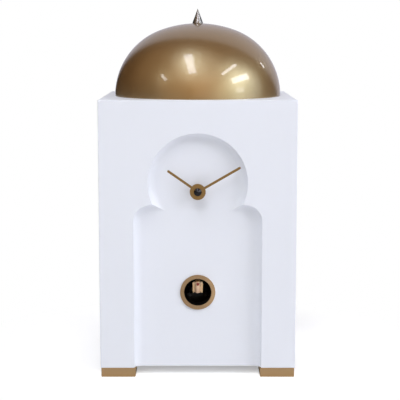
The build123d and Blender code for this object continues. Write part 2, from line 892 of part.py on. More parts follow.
# Front half of the movement's housing, with the threaded bushing, the stud and the setting boss
with BuildPart() as movement_front_case:
    with BuildSketch(facing(movement_split)):
        with Locations((0, dial_height)):
            RectangleRounded(movement_width, movement_width, movement_corner)
    extrude(amount=movement_front - movement_split)
    with BuildSketch(facing(movement_split)):
        with Locations((0, dial_height)):
            RectangleRounded(
                movement_width - 2 * movement_wall,
                movement_width - 2 * movement_wall,
                movement_corner - movement_wall,
            )
    extrude(amount=movement_inner_front - movement_split, mode=Mode.SUBTRACT)
    with BuildSketch(facing(movement_inner_front)):
        with Locations((0, dial_height)):
            Circle(bushing_radius)
    extrude(amount=bushing_end - movement_inner_front)
    with BuildSketch(facing(movement_inner_front)):
        with Locations((0, dial_height)):
            Circle(bushing_bore)
    extrude(amount=bushing_end - movement_inner_front, mode=Mode.SUBTRACT)
    with BuildSketch(facing(motion_layer - gear_thickness)):
        with Locations(motion_place):
            Circle(stud_radius)
    extrude(amount=movement_inner_front - motion_layer + gear_thickness)
    with BuildSketch(facing(motion_layer + gear_gap)):
        with Locations(setting_place):
            Circle(setting_boss_radius)
    extrude(amount=movement_inner_front - motion_layer - gear_gap)
    with BuildSketch(facing(motion_layer + gear_gap)):
        with Locations(setting_place):
            Circle(setting_pivot_radius + running_fit)
    extrude(amount=movement_inner_front - motion_layer, mode=Mode.SUBTRACT)
movement_front_case.part.label = "movement_front_case"
export_step(movement_front_case.part, "parts/movement_front_case.step")

# Back half of the housing, with the bearing of the minute arbor and the cup of the step motor
arbor_boss_radius = arbor_radius + running_fit + motor_cup_wall

with BuildPart() as movement_back_case:
    with BuildSketch(facing(movement_back)):
        with Locations((0, dial_height)):
            RectangleRounded(movement_width, movement_width, movement_corner)
    extrude(amount=movement_split - movement_back)
    with BuildSketch(facing(movement_inner_back)):
        with Locations((0, dial_height)):
            RectangleRounded(
                movement_width - 2 * movement_wall,
                movement_width - 2 * movement_wall,
                movement_corner - movement_wall,
            )
    extrude(amount=movement_split - movement_inner_back, mode=Mode.SUBTRACT)
    with BuildSketch(facing(movement_inner_back)):
        with Locations(rotor_place):
            Circle(step_motor_radius + turned_fit + motor_cup_wall)
            Circle(step_motor_radius + turned_fit, mode=Mode.SUBTRACT)
    extrude(amount=motor_cup_height)
    with BuildSketch(facing(movement_inner_back)):
        with Locations((0, dial_height)):
            Circle(arbor_boss_radius)
    extrude(amount=centre_layer - gear_thickness - gear_gap - movement_inner_back)
    with BuildSketch(facing(movement_inner_back)):
        with Locations((0, dial_height)):
            Circle(arbor_radius + running_fit)
    extrude(amount=centre_layer - movement_inner_back, mode=Mode.SUBTRACT)
    with BuildSketch(facing(movement_back)):
        with Locations(setting_place):
            Circle(setting_shaft_radius + running_fit)
    extrude(amount=movement_wall, mode=Mode.SUBTRACT)
movement_back_case.part.label = "movement_back_case"
export_step(movement_back_case.part, "parts/movement_back_case.step")

with BuildPart() as bushing_washer:
    with BuildSketch(facing(recess_floor)):
        with Locations((0, dial_height)):
            Circle(washer_radius)
            Circle(bushing_radius + seat_fit, mode=Mode.SUBTRACT)
    extrude(amount=washer_thickness)
bushing_washer.part.label = "bushing_washer"
export_step(bushing_washer.part, "parts/bushing_washer.step")

with BuildPart() as bushing_nut:
    with BuildSketch(facing(recess_floor + washer_thickness)):
        with Locations((0, dial_height)):
            RegularPolygon(bushing_nut_half_width, 6, major_radius=False)
            Circle(bushing_radius + seat_fit, mode=Mode.SUBTRACT)
    extrude(amount=bushing_nut_height)
bushing_nut.part.label = "bushing_nut"
export_step(bushing_nut.part, "parts/bushing_nut.step")

# Minute arbor, with the centre wheel that the step motor drives and the cannon pinion
with BuildPart() as minute_arbor:
    with BuildSketch(facing(movement_inner_back + gear_gap)):
        with Locations((0, dial_height)):
            Circle(arbor_radius)
    extrude(amount=minute_hand_back - movement_inner_back - gear_gap)
    with BuildSketch(facing(minute_hand_back)):
        with Locations((0, dial_height)):
            Circle(arbor_seat_radius)
    extrude(amount=hand_thickness)
    with BuildSketch(facing(cap_nut_back)):
        with Locations((0, dial_height)):
            Circle(arbor_thread_radius)
    extrude(amount=arbor_thread_length)
    with BuildSketch(facing(centre_layer - gear_thickness)):
        with Locations((0, dial_height)):
            Polygon(*gear_points(centre_teeth, clock_module, centre_phase), align=None)
    extrude(amount=gear_thickness)
    with BuildSketch(facing(centre_layer)):
        with Locations((0, dial_height)):
            Polygon(*gear_points(cannon_teeth, clock_module, cannon_phase), align=None)
    extrude(amount=motion_layer - centre_layer)
minute_arbor.part.label = "minute_arbor"
export_step(minute_arbor.part, "parts/minute_arbor.step")

# Motion wheel: a wheel driven by the cannon pinion, and the pinion that drives the hour wheel
with BuildPart() as motion_wheel:
    with BuildSketch(facing(motion_layer - gear_thickness)):
        with Locations(motion_place):
            Polygon(*gear_points(motion_teeth, clock_module, motion_phase), align=None)
    extrude(amount=gear_thickness)
    with BuildSketch(facing(motion_layer)):
        with Locations(motion_place):
            Polygon(*gear_points(motion_pinion_teeth, clock_module, motion_pinion_phase), align=None)
    extrude(amount=hour_layer - motion_layer)
    with BuildSketch(facing(motion_layer - gear_thickness)):
        with Locations(motion_place):
            Circle(stud_radius + running_fit)
    extrude(amount=hour_layer - motion_layer + gear_thickness, mode=Mode.SUBTRACT)
motion_wheel.part.label = "motion_wheel"
export_step(motion_wheel.part, "parts/motion_wheel.step")

with BuildPart() as hour_wheel:
    with BuildSketch(facing(hour_layer - gear_thickness)):
        with Locations((0, dial_height)):
            Polygon(*gear_points(hour_teeth, clock_module, hour_phase), align=None)
    extrude(amount=gear_thickness)
    with BuildSketch(facing(hour_layer)):
        with Locations((0, dial_height)):
            Circle(hour_tube_radius)
    extrude(amount=hour_hand_back - hour_layer)
    with BuildSketch(facing(hour_hand_back)):
        with Locations((0, dial_height)):
            Circle(hour_seat_radius)
    extrude(amount=hour_tube_front - hour_hand_back)
    with BuildSketch(facing(hour_layer - gear_thickness)):
        with Locations((0, dial_height)):
            Circle(hour_tube_bore)
    extrude(amount=hour_tube_front - hour_layer + gear_thickness, mode=Mode.SUBTRACT)
hour_wheel.part.label = "hour_wheel"
export_step(hour_wheel.part, "parts/hour_wheel.step")

# Setting knob behind the movement, whose pinion turns the motion wheel
with BuildPart() as setting_knob:
    with BuildSketch(facing(motion_layer - gear_thickness)):
        with Locations(setting_place):
            Polygon(*gear_points(setting_teeth, clock_module, setting_phase), align=None)
    extrude(amount=gear_thickness)
    with BuildSketch(facing(motion_layer)):
        with Locations(setting_place):
            Circle(setting_pivot_radius)
    extrude(amount=movement_inner_front - motion_layer - gear_gap)
    with BuildSketch(facing(motion_layer - gear_thickness)):
        with Locations(setting_place):
            Circle(setting_shaft_radius)
    extrude(amount=-(motion_layer - gear_thickness - movement_back + gear_gap))
    with BuildSketch(facing(movement_back - gear_gap)):
        with Locations(setting_place):
            RegularPolygon(setting_knob_radius, setting_knob_sides)
    extrude(amount=-setting_knob_height)
setting_knob.part.label = "setting_knob"
export_step(setting_knob.part, "parts/setting_knob.step")

step_motor_front = centre_layer - gear_thickness - step_motor_gap

with BuildPart() as step_motor:
    with BuildSketch(facing(movement_inner_back)):
        with Locations(rotor_place):
            Circle(step_motor_radius)
    extrude(amount=step_motor_front - movement_inner_back)
    with BuildSketch(facing(step_motor_front)):
        with Locations(rotor_place):
            Circle(rotor_shaft_radius + running_fit)
    extrude(amount=-rotor_shaft_sunk - running_fit, mode=Mode.SUBTRACT)
step_motor.part.label = "step_motor"
export_step(step_motor.part, "parts/step_motor.step")

with BuildPart() as motor_pinion:
    with BuildSketch(facing(centre_layer - gear_thickness)):
        with Locations(rotor_place):
            Polygon(*gear_points(rotor_teeth, clock_module, rotor_phase), align=None)
    extrude(amount=gear_thickness)
    with BuildSketch(facing(centre_layer - gear_thickness)):
        with Locations(rotor_place):
            Circle(rotor_shaft_radius)
    extrude(amount=-step_motor_gap - rotor_shaft_sunk)
motor_pinion.part.label = "motor_pinion"
export_step(motor_pinion.part, "parts/motor_pinion.step")


def clock_hand(reach, angle, hand_back, bore_radius, part_label):
    """Flat hand with a round hub and a slim round-ended blade, turned clockwise from twelve."""
    blade_middle = clockwise_point(reach / 2, angle)
    with BuildPart() as hand:
        with BuildSketch(facing(hand_back)):
            with Locations((0, dial_height)):
                Circle(hub_radius)
            with Locations((blade_middle[0], dial_height + blade_middle[1])):
                SlotOverall(reach, hand_width, rotation=90 - angle)
            with Locations((0, dial_height)):
                Circle(bore_radius, mode=Mode.SUBTRACT)
        extrude(amount=hand_thickness)
    hand.part.label = part_label
    export_step(hand.part, f"parts/{part_label}.step")


clock_hand(hour_reach, hour_hand_angle, hour_hand_back, hour_seat_radius + seat_fit, "hour_hand")
clock_hand(minute_reach, minute_hand_angle, minute_hand_back, arbor_seat_radius + seat_fit, "minute_hand")

# Pointed cap nut over the end of the arbor
with BuildPart() as cap_nut:
    with BuildSketch(Plane.YZ):
        with BuildLine():
            Polyline(
                (-cap_nut_back, dial_height),
                (-cap_nut_back, dial_height + cap_nut_radius),
                (-cap_nut_back - cap_nut_rim, dial_height + cap_nut_radius),
                (-cap_nut_back - cap_nut_height, dial_height + cap_nut_tip_radius),
                (-cap_nut_back - cap_nut_height, dial_height),
                close=True,
            )
        make_face()
    revolve(axis=Axis((0, 0, dial_height), (0, 1, 0)))
    with BuildSketch(facing(cap_nut_back)):
        with Locations((0, dial_height)):
            Circle(arbor_thread_radius + seat_fit)
    extrude(amount=arbor_thread_length + turned_fit, mode=Mode.SUBTRACT)
cap_nut.part.label = "cap_nut"
export_step(cap_nut.part, "parts/cap_nut.step")

# Bird drive: a deck behind the window, screwed to the front board, with two rods for the carriage
notch_radius = tube_flange_radius + flange_notch_gap
deck_left = notch_radius + rib_thickness
rod_height = window_height - rod_drop
bridge_back = block_front + bird_travel + stop_gap
rack_back = pinion_forward - bird_travel - rack_margin
rack_front = pinion_forward + rack_margin
end_wall_front = rack_back - end_wall_gap
end_wall_back = end_wall_front - end_wall
rack_pitch_side = block_half_width + rack_bar + tooth_dedendum * rack_module
pinion_side = rack_pitch_side + rack_module * pinion_teeth / 2
drive_tip_radius = drive_module * (drive_teeth / 2 + tooth_addendum)
deck_right = pinion_side + drive_tip_radius + deck_margin
deck_middle = (deck_right - deck_left) / 2
drive_distance = drive_module * (drive_teeth + drive_pinion_teeth) / 2
bird_motor_forward = pinion_forward - drive_distance
drive_bottom = deck_top + drive_lift
rod_length = bridge_back + bridge_thickness - end_wall_back
control_height = deck_top + control_rise
board_standoff = turned_fit + button_collar + button_travel + contact_gap
switch_slot_length = switch_knob_length + switch_travel + 2 * control_fit

with BuildPart() as cuckoo_chassis:
    with BuildSketch(level(deck_bottom)):
        with Locations((deck_middle, -(front_inside + end_wall_back) / 2)):
            Rectangle(deck_right + deck_left, front_inside - end_wall_back)
    extrude(amount=deck_thickness)
    with BuildSketch(facing(front_inside)):
        with Locations((0, flange_middle)):
            Rectangle(2 * flange_half_width, flange_height)
        with Locations((0, window_height)):
            Circle(notch_radius, mode=Mode.SUBTRACT)
        with Locations((0, window_height + notch_radius)):
            Rectangle(2 * notch_radius, 2 * notch_radius, mode=Mode.SUBTRACT)
    extrude(amount=-flange_thickness)
    for rib_side in (-deck_left, deck_right - rib_thickness):
        with BuildSketch(Plane.YZ.offset(rib_side)):
            with BuildLine():
                Polyline(
                    (flange_thickness - front_inside, deck_top),
                    (flange_thickness - front_inside + rib_run, deck_top),
                    (flange_thickness - front_inside, deck_top + rib_rise),
                    close=True,
                )
            make_face()
        extrude(amount=rib_thickness)
    with BuildSketch(facing(bridge_back)):
        with Locations((0, deck_top + bridge_height / 2)):
            Rectangle(2 * bridge_half_width, bridge_height)
    extrude(amount=bridge_thickness)
    with BuildSketch(facing(end_wall_back)):
        with Locations((deck_middle, deck_top + end_wall_height / 2)):
            Rectangle(deck_right + deck_left, end_wall_height)
        with Locations((switch_offset, control_height)):
            Rectangle(switch_slot_length, switch_knob_height + 2 * control_fit, mode=Mode.SUBTRACT)
        with Locations((button_offset, control_height)):
            Circle(button_radius + control_fit, mode=Mode.SUBTRACT)
    extrude(amount=end_wall)
    with BuildSketch(facing(end_wall_front)):
        with Locations((0, control_height)):
            with GridLocations(
                2 * (control_board_half_width - standoff_inset),
                control_board_height - 2 * standoff_inset,
                2,
                2,
            ):
                Circle(standoff_radius)
    extrude(amount=board_standoff)
    with BuildSketch(facing(end_wall_back)):
        with Locations((0, rod_height)):
            with GridLocations(2 * rod_half_spacing, 0, 2, 1):
                Circle(rod_radius + seat_fit)
    extrude(amount=rod_length, mode=Mode.SUBTRACT)
    with BuildSketch(level(deck_bottom)):
        with Locations((pinion_side, -pinion_forward)):
            Circle(axle_radius + running_fit)
        with Locations((pinion_side, -bird_motor_forward)):
            Circle(bird_motor_hole)
    extrude(amount=deck_thickness, mode=Mode.SUBTRACT)
    with BuildSketch(facing(front_inside)):
        with Locations((0, flange_middle)):
            with GridLocations(flange_screw_span, flange_screw_rise, 2, 2):
                Circle(chassis_screw_radius + turned_fit)
    extrude(amount=-flange_thickness, mode=Mode.SUBTRACT)
cuckoo_chassis.part.label = "cuckoo_chassis"
export_step(cuckoo_chassis.part, "parts/cuckoo_chassis.step")

with BuildPart() as chassis_screws:
    with BuildSketch(facing(front_inside - flange_thickness)):
        with Locations((0, flange_middle)):
            with GridLocations(flange_screw_span, flange_screw_rise, 2, 2):
                Circle(chassis_screw_head_radius)
    extrude(amount=-chassis_screw_head)
    with BuildSketch(facing(front_inside - flange_thickness)):
        with Locations((0, flange_middle)):
            with GridLocations(flange_screw_span, flange_screw_rise, 2, 2):
                Circle(chassis_screw_radius)
    extrude(amount=flange_thickness + chassis_screw_bite)
chassis_screws.part.label = "chassis_screws"
export_step(chassis_screws.part, "parts/chassis_screws.step")

with BuildPart() as guide_rods:
    with BuildSketch(facing(end_wall_back)):
        with Locations((0, rod_height)):
            with GridLocations(2 * rod_half_spacing, 0, 2, 1):
                Circle(rod_radius)
    extrude(amount=rod_length)
guide_rods.part.label = "guide_rods"
export_step(guide_rods.part, "parts/guide_rods.step")

# Bird carriage: a block on the two rods, a rack along its side and an arm that carries the bird
bird_forward = ring_front - bird_setback
bird_base = window_height - bird_base_drop
block_back = block_front - block_length
block_bottom = rod_height - block_height / 2
rack_pitch = pi * rack_module
rack_teeth_ahead = int(rack_margin / rack_pitch)
rack_teeth_behind = int((bird_travel + rack_margin) / rack_pitch)
rack_half_tooth = pi * rack_module / 4 * (1 - tooth_backlash)
rack_slope = rack_module * tan(radians(tooth_flank))
rack_root_side = block_half_width + rack_bar
rack_tip_side = rack_pitch_side + tooth_addendum * rack_module
arm_end = bird_forward - bird_body_radius - running_fit

with BuildPart() as bird_carriage:
    with BuildSketch(level(block_bottom)):
        with Locations((0, -(block_front + block_back) / 2)):
            Rectangle(2 * block_half_width, block_length)
    extrude(amount=block_height)
    with BuildSketch(facing(block_back)):
        with Locations((0, rod_height)):
            with GridLocations(2 * rod_half_spacing, 0, 2, 1):
                Circle(rod_radius + running_fit)
    extrude(amount=block_length, mode=Mode.SUBTRACT)
    with BuildSketch(level(rod_height - rack_width / 2)):
        with Locations((block_half_width + rack_bar / 2, -(rack_front + rack_back) / 2)):
            Rectangle(rack_bar, rack_front - rack_back)
        for tooth in range(-rack_teeth_ahead, rack_teeth_behind):
            tooth_place = -pinion_forward + (tooth + 0.5) * rack_pitch
            with BuildLine():
                Polyline(
                    (rack_root_side, tooth_place - rack_half_tooth - tooth_dedendum * rack_slope),
                    (rack_tip_side, tooth_place - rack_half_tooth + tooth_addendum * rack_slope),
                    (rack_tip_side, tooth_place + rack_half_tooth - tooth_addendum * rack_slope),
                    (rack_root_side, tooth_place + rack_half_tooth + tooth_dedendum * rack_slope),
                    close=True,
                )
            make_face()
    extrude(amount=rack_width)
    with BuildSketch(level(block_bottom + block_height)):
        with Locations((0, -(block_back + post_length / 2))):
            Rectangle(2 * post_half_width, post_length)
    extrude(amount=window_height + arm_radius - block_bottom - block_height)
    with BuildSketch(facing(block_back + post_length)):
        with Locations((0, window_height)):
            Circle(arm_radius)
    extrude(amount=arm_end - block_back - post_length)
    with BuildSketch(facing(arm_end)):
        with Locations((0, window_height)):
            Circle(arm_tip_radius)
    extrude(amount=arm_tip_length)
bird_carriage.part.label = "bird_carriage"
export_step(bird_carriage.part, "parts/bird_carriage.step")

# Drive gear with the pinion that moves the rack, and the motor with its own pinion
pinion_phase = 180.0
drive_phase = 90.0
drive_pinion_phase = meshing_phase(90, drive_phase, drive_teeth, drive_pinion_teeth)

with BuildPart() as carriage_pinion:
    with BuildSketch(level(drive_bottom)):
        with Locations((pinion_side, -pinion_forward)):
            Polygon(*gear_points(drive_teeth, drive_module, drive_phase), align=None)
    extrude(amount=drive_thickness)
    with BuildSketch(level(drive_bottom + drive_thickness)):
        with Locations((pinion_side, -pinion_forward)):
            Circle(pinion_hub_radius)
    extrude(amount=rod_height - rack_width / 2 - pinion_extra - drive_bottom - drive_thickness)
    with BuildSketch(level(rod_height - rack_width / 2 - pinion_extra)):
        with Locations((pinion_side, -pinion_forward)):
            Polygon(*gear_points(pinion_teeth, rack_module, pinion_phase), align=None)
    extrude(amount=rack_width + 2 * pinion_extra)
    with BuildSketch(level(drive_bottom)):
        with Locations((pinion_side, -pinion_forward)):
            Circle(axle_radius)
    extrude(amount=-drive_lift - axle_sunk)
carriage_pinion.part.label = "carriage_pinion"
export_step(carriage_pinion.part, "parts/carriage_pinion.step")

with BuildPart() as bird_motor:
    with BuildSketch(level(deck_bottom)):
        with Locations((pinion_side, -bird_motor_forward)):
            Circle(bird_motor_radius)
    extrude(amount=-bird_motor_height)
    with BuildSketch(level(deck_bottom)):
        with Locations((pinion_side, -bird_motor_forward)):
            Circle(bird_shaft_radius + running_fit)
    extrude(amount=-bird_shaft_sunk - running_fit, mode=Mode.SUBTRACT)
bird_motor.part.label = "bird_motor"
export_step(bird_motor.part, "parts/bird_motor.step")

with BuildPart() as bird_motor_pinion:
    with BuildSketch(level(drive_bottom)):
        with Locations((pinion_side, -bird_motor_forward)):
            Polygon(*gear_points(drive_pinion_teeth, drive_module, drive_pinion_phase), align=None)
    extrude(amount=drive_thickness)
    with BuildSketch(level(drive_bottom)):
        with Locations((pinion_side, -bird_motor_forward)):
            Circle(bird_shaft_radius)
    extrude(amount=-drive_lift - deck_thickness - bird_shaft_sunk)
bird_motor_pinion.part.label = "bird_motor_pinion"
export_step(bird_motor_pinion.part, "parts/bird_motor_pinion.step")

# Bird: a turned body and head with a tail, and a yoke behind the shoulders with a pin for each wing
neck_height = bird_head_height - sqrt(bird_head_radius**2 - bird_neck_radius**2)
wing_front = bird_forward + wing_thickness / 2
yoke_front = bird_forward - wing_thickness / 2 - yoke_gap
wing_pivot = bird_base + wing_pivot_height

with BuildPart() as bird_body:
    with BuildSketch(Plane(origin=(0, -bird_forward, bird_base), x_dir=(1, 0, 0), z_dir=(0, -1, 0))):
        with BuildLine():
            Line((0, 0), (bird_base_radius, 0))
            ThreePointArc(
                (bird_base_radius, 0),
                (bird_body_radius, neck_height / 2),
                (bird_neck_radius, neck_height),
            )
            ThreePointArc(
                (bird_neck_radius, neck_height),
                (bird_head_radius, bird_head_height),
                (0, bird_head_height + bird_head_radius),
            )
            Line((0, bird_head_height + bird_head_radius), (0, 0))
        make_face()
    revolve(axis=Axis((0, -bird_forward, bird_base), (0, 0, 1)))
    with BuildSketch(Plane.YZ.offset(-tail_half_width)):
        with BuildLine():
            Polyline(
                (-bird_forward, bird_base + tail_rise),
                (-bird_forward, bird_base + tail_rise + tail_root_thickness),
                (-bird_forward + tail_length, bird_base + tail_thickness),
                (-bird_forward + tail_length, bird_base),
                close=True,
            )
        make_face()
    extrude(amount=2 * tail_half_width)
    with BuildSketch(facing(yoke_front)):
        with Locations((0, wing_pivot)):
            Rectangle(2 * (wing_pivot_side + wing_root_radius / 2), 2 * yoke_half_height)
    extrude(amount=-yoke_thickness)
    with BuildSketch(facing(yoke_front)):
        with Locations((0, wing_pivot)):
            with GridLocations(2 * wing_pivot_side, 0, 2, 1):
                Circle(wing_pin_radius)
    extrude(amount=yoke_gap + wing_thickness + wing_pin_tail)
    with BuildSketch(facing(arm_end)):
        with Locations((0, window_height)):
            Circle(arm_tip_radius + seat_fit)
    extrude(amount=arm_tip_length + seat_fit, mode=Mode.SUBTRACT)
bird_body.part.label = "bird_body"
export_step(bird_body.part, "parts/bird_body.step")

beak_root = bird_forward + sqrt(bird_head_radius**2 - (bird_head_height - beak_height + beak_radius) ** 2)
beak_tip = bird_forward + bird_head_radius + beak_length
beak_taper = degrees(atan2(beak_radius - beak_tip_radius, beak_tip - beak_root))

with BuildPart() as bird_beak:
    with BuildSketch(facing(beak_root)):
        with Locations((0, bird_base + beak_height)):
            Circle(beak_radius)
    extrude(amount=beak_tip - beak_root, taper=beak_taper)
    add(bird_body.part, mode=Mode.SUBTRACT)
bird_beak.part.label = "bird_beak"
export_step(bird_beak.part, "parts/bird_beak.step")

for side_name, side_sign in (("left", -1), ("right", 1)):
    pivot = (side_sign * wing_pivot_side, wing_pivot)
    inner_side = side_sign * (wing_pivot_side - wing_root_radius)
    outer_side = side_sign * (wing_pivot_side + wing_root_radius)
    with BuildPart() as wing:
        with BuildSketch(facing(wing_front - wing_thickness)):
            with BuildLine():
                CenterArc(pivot, wing_root_radius, 0, 180)
                Polyline(
                    (outer_side, wing_pivot),
                    (pivot[0] + side_sign * wing_tip_out, wing_pivot - wing_length),
                    (inner_side + side_sign * wing_notch, wing_pivot - wing_length),
                    (inner_side, wing_pivot - wing_length + wing_notch),
                    (inner_side, wing_pivot),
                )
            make_face()
            with Locations(pivot):
                Circle(wing_pin_radius + running_fit, mode=Mode.SUBTRACT)
        extrude(amount=wing_thickness)
    wing.part.label = f"{side_name}_wing"
    export_step(wing.part, f"parts/{side_name}_wing.step")

# Sound switch and test button on the end wall, and the board that they work on
board_back = end_wall_front + board_standoff

with BuildPart() as sound_switch:
    with BuildSketch(facing(end_wall_front + turned_fit)):
        with Locations((switch_offset - switch_travel / 2, control_height)):
            Rectangle(switch_plate_length, switch_plate_height)
    extrude(amount=switch_plate_thickness)
    with BuildSketch(facing(end_wall_front + turned_fit)):
        with Locations((switch_offset - switch_travel / 2, control_height)):
            Rectangle(switch_knob_length, switch_knob_height)
    extrude(amount=-turned_fit - end_wall - control_reach)
sound_switch.part.label = "sound_switch"
export_step(sound_switch.part, "parts/sound_switch.step")

with BuildPart() as test_button:
    with BuildSketch(facing(end_wall_front + turned_fit)):
        with Locations((button_offset, control_height)):
            Circle(button_collar_radius)
    extrude(amount=button_collar)
    with BuildSketch(facing(end_wall_front + turned_fit)):
        with Locations((button_offset, control_height)):
            Circle(button_radius)
    extrude(amount=-turned_fit - end_wall - control_reach)
test_button.part.label = "test_button"
export_step(test_button.part, "parts/test_button.step")

with BuildPart() as control_board:
    with BuildSketch(facing(board_back)):
        with Locations((0, control_height)):
            Rectangle(2 * control_board_half_width, control_board_height)
    extrude(amount=control_board_thickness)
control_board.part.label = "control_board"
export_step(control_board.part, "parts/control_board.step")

# Speaker over the sound slots
with BuildPart() as speaker:
    with BuildSketch(level(floor_inside)):
        with Locations((0, -speaker_forward)):
            Circle(speaker_radius)
    extrude(amount=speaker_rim)
    with BuildSketch(level(floor_inside + speaker_rim)):
        with Locations((0, -speaker_forward)):
            Circle(speaker_cone_radius)
    with BuildSketch(level(floor_inside + speaker_rim + speaker_cone_height)):
        with Locations((0, -speaker_forward)):
            Circle(magnet_radius)
    loft()
    with BuildSketch(level(floor_inside + speaker_rim + speaker_cone_height)):
        with Locations((0, -speaker_forward)):
            Circle(magnet_radius)
    extrude(amount=magnet_height)
speaker.part.label = "speaker"
export_step(speaker.part, "parts/speaker.step")

# Battery tray with two cells side by side, and a contact plate at each end of each cell
tray_side = side_inside - tray_side_inset
tray_forward = back_inside + tray_back_inset
cell_height = floor_inside + tray_wall + cell_radius
cell_rows = cell_radius + cell_gap / 2
tray_inner_length = cell_length + cell_nub + 2 * (contact_thickness + contact_fit)
tray_inner_width = 4 * cell_radius + 3 * cell_gap
contact_side = tray_inner_length / 2 - contact_thickness

with BuildPart() as battery_tray:
    with BuildSketch(level(floor_inside)):
        with Locations((tray_side, -tray_forward)):
            RectangleRounded(tray_inner_length + 2 * tray_wall, tray_inner_width + 2 * tray_wall, tray_wall)
    extrude(amount=tray_height)
    with BuildSketch(level(floor_inside + tray_wall)):
        with Locations((tray_side, -tray_forward)):
            Rectangle(tray_inner_length, tray_inner_width)
    extrude(amount=tray_height - tray_wall, mode=Mode.SUBTRACT)
battery_tray.part.label = "battery_tray"
export_step(battery_tray.part, "parts/battery_tray.step")

with BuildPart() as battery_cells:
    for row_sign in (-1, 1):
        cell_place = (row_sign * cell_rows - tray_forward, cell_height)
        cell_end = tray_side - row_sign * (cell_length + cell_nub) / 2
        with BuildSketch(Plane.YZ.offset(cell_end)):
            with Locations(cell_place):
                Circle(cell_radius)
        extrude(amount=row_sign * cell_length)
        with BuildSketch(Plane.YZ.offset(cell_end + row_sign * cell_length)):
            with Locations(cell_place):
                Circle(cell_nub_radius)
        extrude(amount=row_sign * cell_nub)
battery_cells.part.label = "battery_cells"
export_step(battery_cells.part, "parts/battery_cells.step")

with BuildPart() as battery_contacts:
    for end_sign in (-1, 1):
        with BuildSketch(Plane.YZ.offset(tray_side + end_sign * contact_side)):
            with Locations((-tray_forward, floor_inside + tray_wall + contact_size / 2)):
                with GridLocations(2 * cell_rows, 0, 2, 1):
                    Rectangle(contact_size, contact_size)
        extrude(amount=end_sign * contact_thickness)
battery_contacts.part.label = "battery_contacts"
export_step(battery_contacts.part, "parts/battery_contacts.step")
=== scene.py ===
# %% [markdown]
# A table clock with a golden dome, a horseshoe niche in its white front and a bird behind a round
# window. The shapes come from a CAD model that is loaded as a fixed frame. This notebook gives each
# of its pieces a finish, adds the small details that CAD leaves out, and lights the clock as in a
# photo studio.

import json
from math import atan2, cos, degrees, pi, radians, sin

import bmesh
import bpy
from mathutils import Matrix, Vector

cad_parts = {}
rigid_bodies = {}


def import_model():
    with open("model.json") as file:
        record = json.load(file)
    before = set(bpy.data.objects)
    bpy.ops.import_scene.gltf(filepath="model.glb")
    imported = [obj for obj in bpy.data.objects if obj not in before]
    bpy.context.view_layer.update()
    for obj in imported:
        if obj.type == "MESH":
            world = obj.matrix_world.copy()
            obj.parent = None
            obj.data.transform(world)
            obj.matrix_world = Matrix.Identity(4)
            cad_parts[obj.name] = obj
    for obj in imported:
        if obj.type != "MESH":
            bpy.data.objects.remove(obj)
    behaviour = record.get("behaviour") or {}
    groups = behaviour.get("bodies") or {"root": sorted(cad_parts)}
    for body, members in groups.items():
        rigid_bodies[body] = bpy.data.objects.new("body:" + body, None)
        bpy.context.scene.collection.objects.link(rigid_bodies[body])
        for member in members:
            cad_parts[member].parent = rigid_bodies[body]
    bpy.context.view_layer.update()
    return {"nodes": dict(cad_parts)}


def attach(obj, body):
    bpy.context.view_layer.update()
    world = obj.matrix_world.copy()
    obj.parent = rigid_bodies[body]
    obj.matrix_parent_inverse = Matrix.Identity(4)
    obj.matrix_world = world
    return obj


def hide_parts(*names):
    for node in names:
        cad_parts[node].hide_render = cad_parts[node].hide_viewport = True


for thing in list(bpy.data.objects):
    bpy.data.objects.remove(thing)
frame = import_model()
nodes = frame["nodes"]
print("pieces of the clock:", len(nodes))

# %% [markdown]
# The camera comes first, because everything else is judged through it. The photograph was taken a
# little above the middle of the case, so the camera looks down by a few degrees. A long lens keeps
# the upright edges of the case almost parallel, and a small shift moves the picture sideways
# without turning the camera.

# %% Camera
CAMERA_HEIGHT = 0.4354
CAMERA_DISTANCE = 1.638
CAMERA_TILT = radians(7.742)
CAMERA_LENS = 109.08
CAMERA_SHIFT = 0.005625
CAMERA_SIGHT = 50.0


def add_object(name, data):
    """Puts a camera, a lamp or a mesh in the scene."""
    thing = bpy.data.objects.new(name, data)
    bpy.context.scene.collection.objects.link(thing)
    return thing


camera = add_object("camera", bpy.data.cameras.new("camera"))
camera.location = (0.0, -CAMERA_DISTANCE, CAMERA_HEIGHT)
camera.rotation_euler = (pi / 2 - CAMERA_TILT, 0.0, 0.0)
camera.data.lens = CAMERA_LENS
camera.data.shift_x = CAMERA_SHIFT
camera.data.clip_end = CAMERA_SIGHT
bpy.context.scene.camera = camera
bpy.context.scene.view_settings.view_transform = "Standard"
print("camera looks down by", round(degrees(CAMERA_TILT), 1), "degrees")

# %% [markdown]
# A studio lamp is easiest to place by its way, the direction in which it stands, seen from the
# clock: how far it is turned from the camera towards the right, and how high it hangs. A glossy
# dome mirrors every lamp, so the ways are chosen by where the reflections should show on it. The
# light from the window side is a little blue. A wide lamp above the clock gives it soft light, but
# its reflection would cover half the dome, so that lamp is hidden from mirrors.

# %% Lamps
DOME_CENTRE = Vector((0.0, 0.0, 0.38))
DAYLIGHT = (1.03, 1.02, 1.12)
CEILING_WAY = (-15.6, 54.2)
CEILING_ROLL = 19.7


def way_to(turn, rise):
    """The direction turned from the camera to the right and raised above the horizon."""
    turn, rise = radians(turn), radians(rise)
    return Vector((sin(turn) * cos(rise), -cos(turn) * cos(rise), sin(rise)))


def softbox(name, way, size, power, roll=0.0, colour=(1.0, 1.0, 1.0), distance=3.0):
    """A lamp of some width and height that faces the dome, rolled about its own line of sight."""
    data = bpy.data.lights.new(name, "AREA")
    data.shape = "RECTANGLE"
    data.size, data.size_y = size
    data.energy = power
    data.color = colour
    lamp = add_object(name, data)
    lamp.location = DOME_CENTRE + way_to(*way) * distance
    aim = (DOME_CENTRE - lamp.location).to_track_quat("-Z", "Y").to_matrix()
    lamp.rotation_euler = (aim @ Matrix.Rotation(radians(roll), 3, "Z")).to_euler()
    return lamp


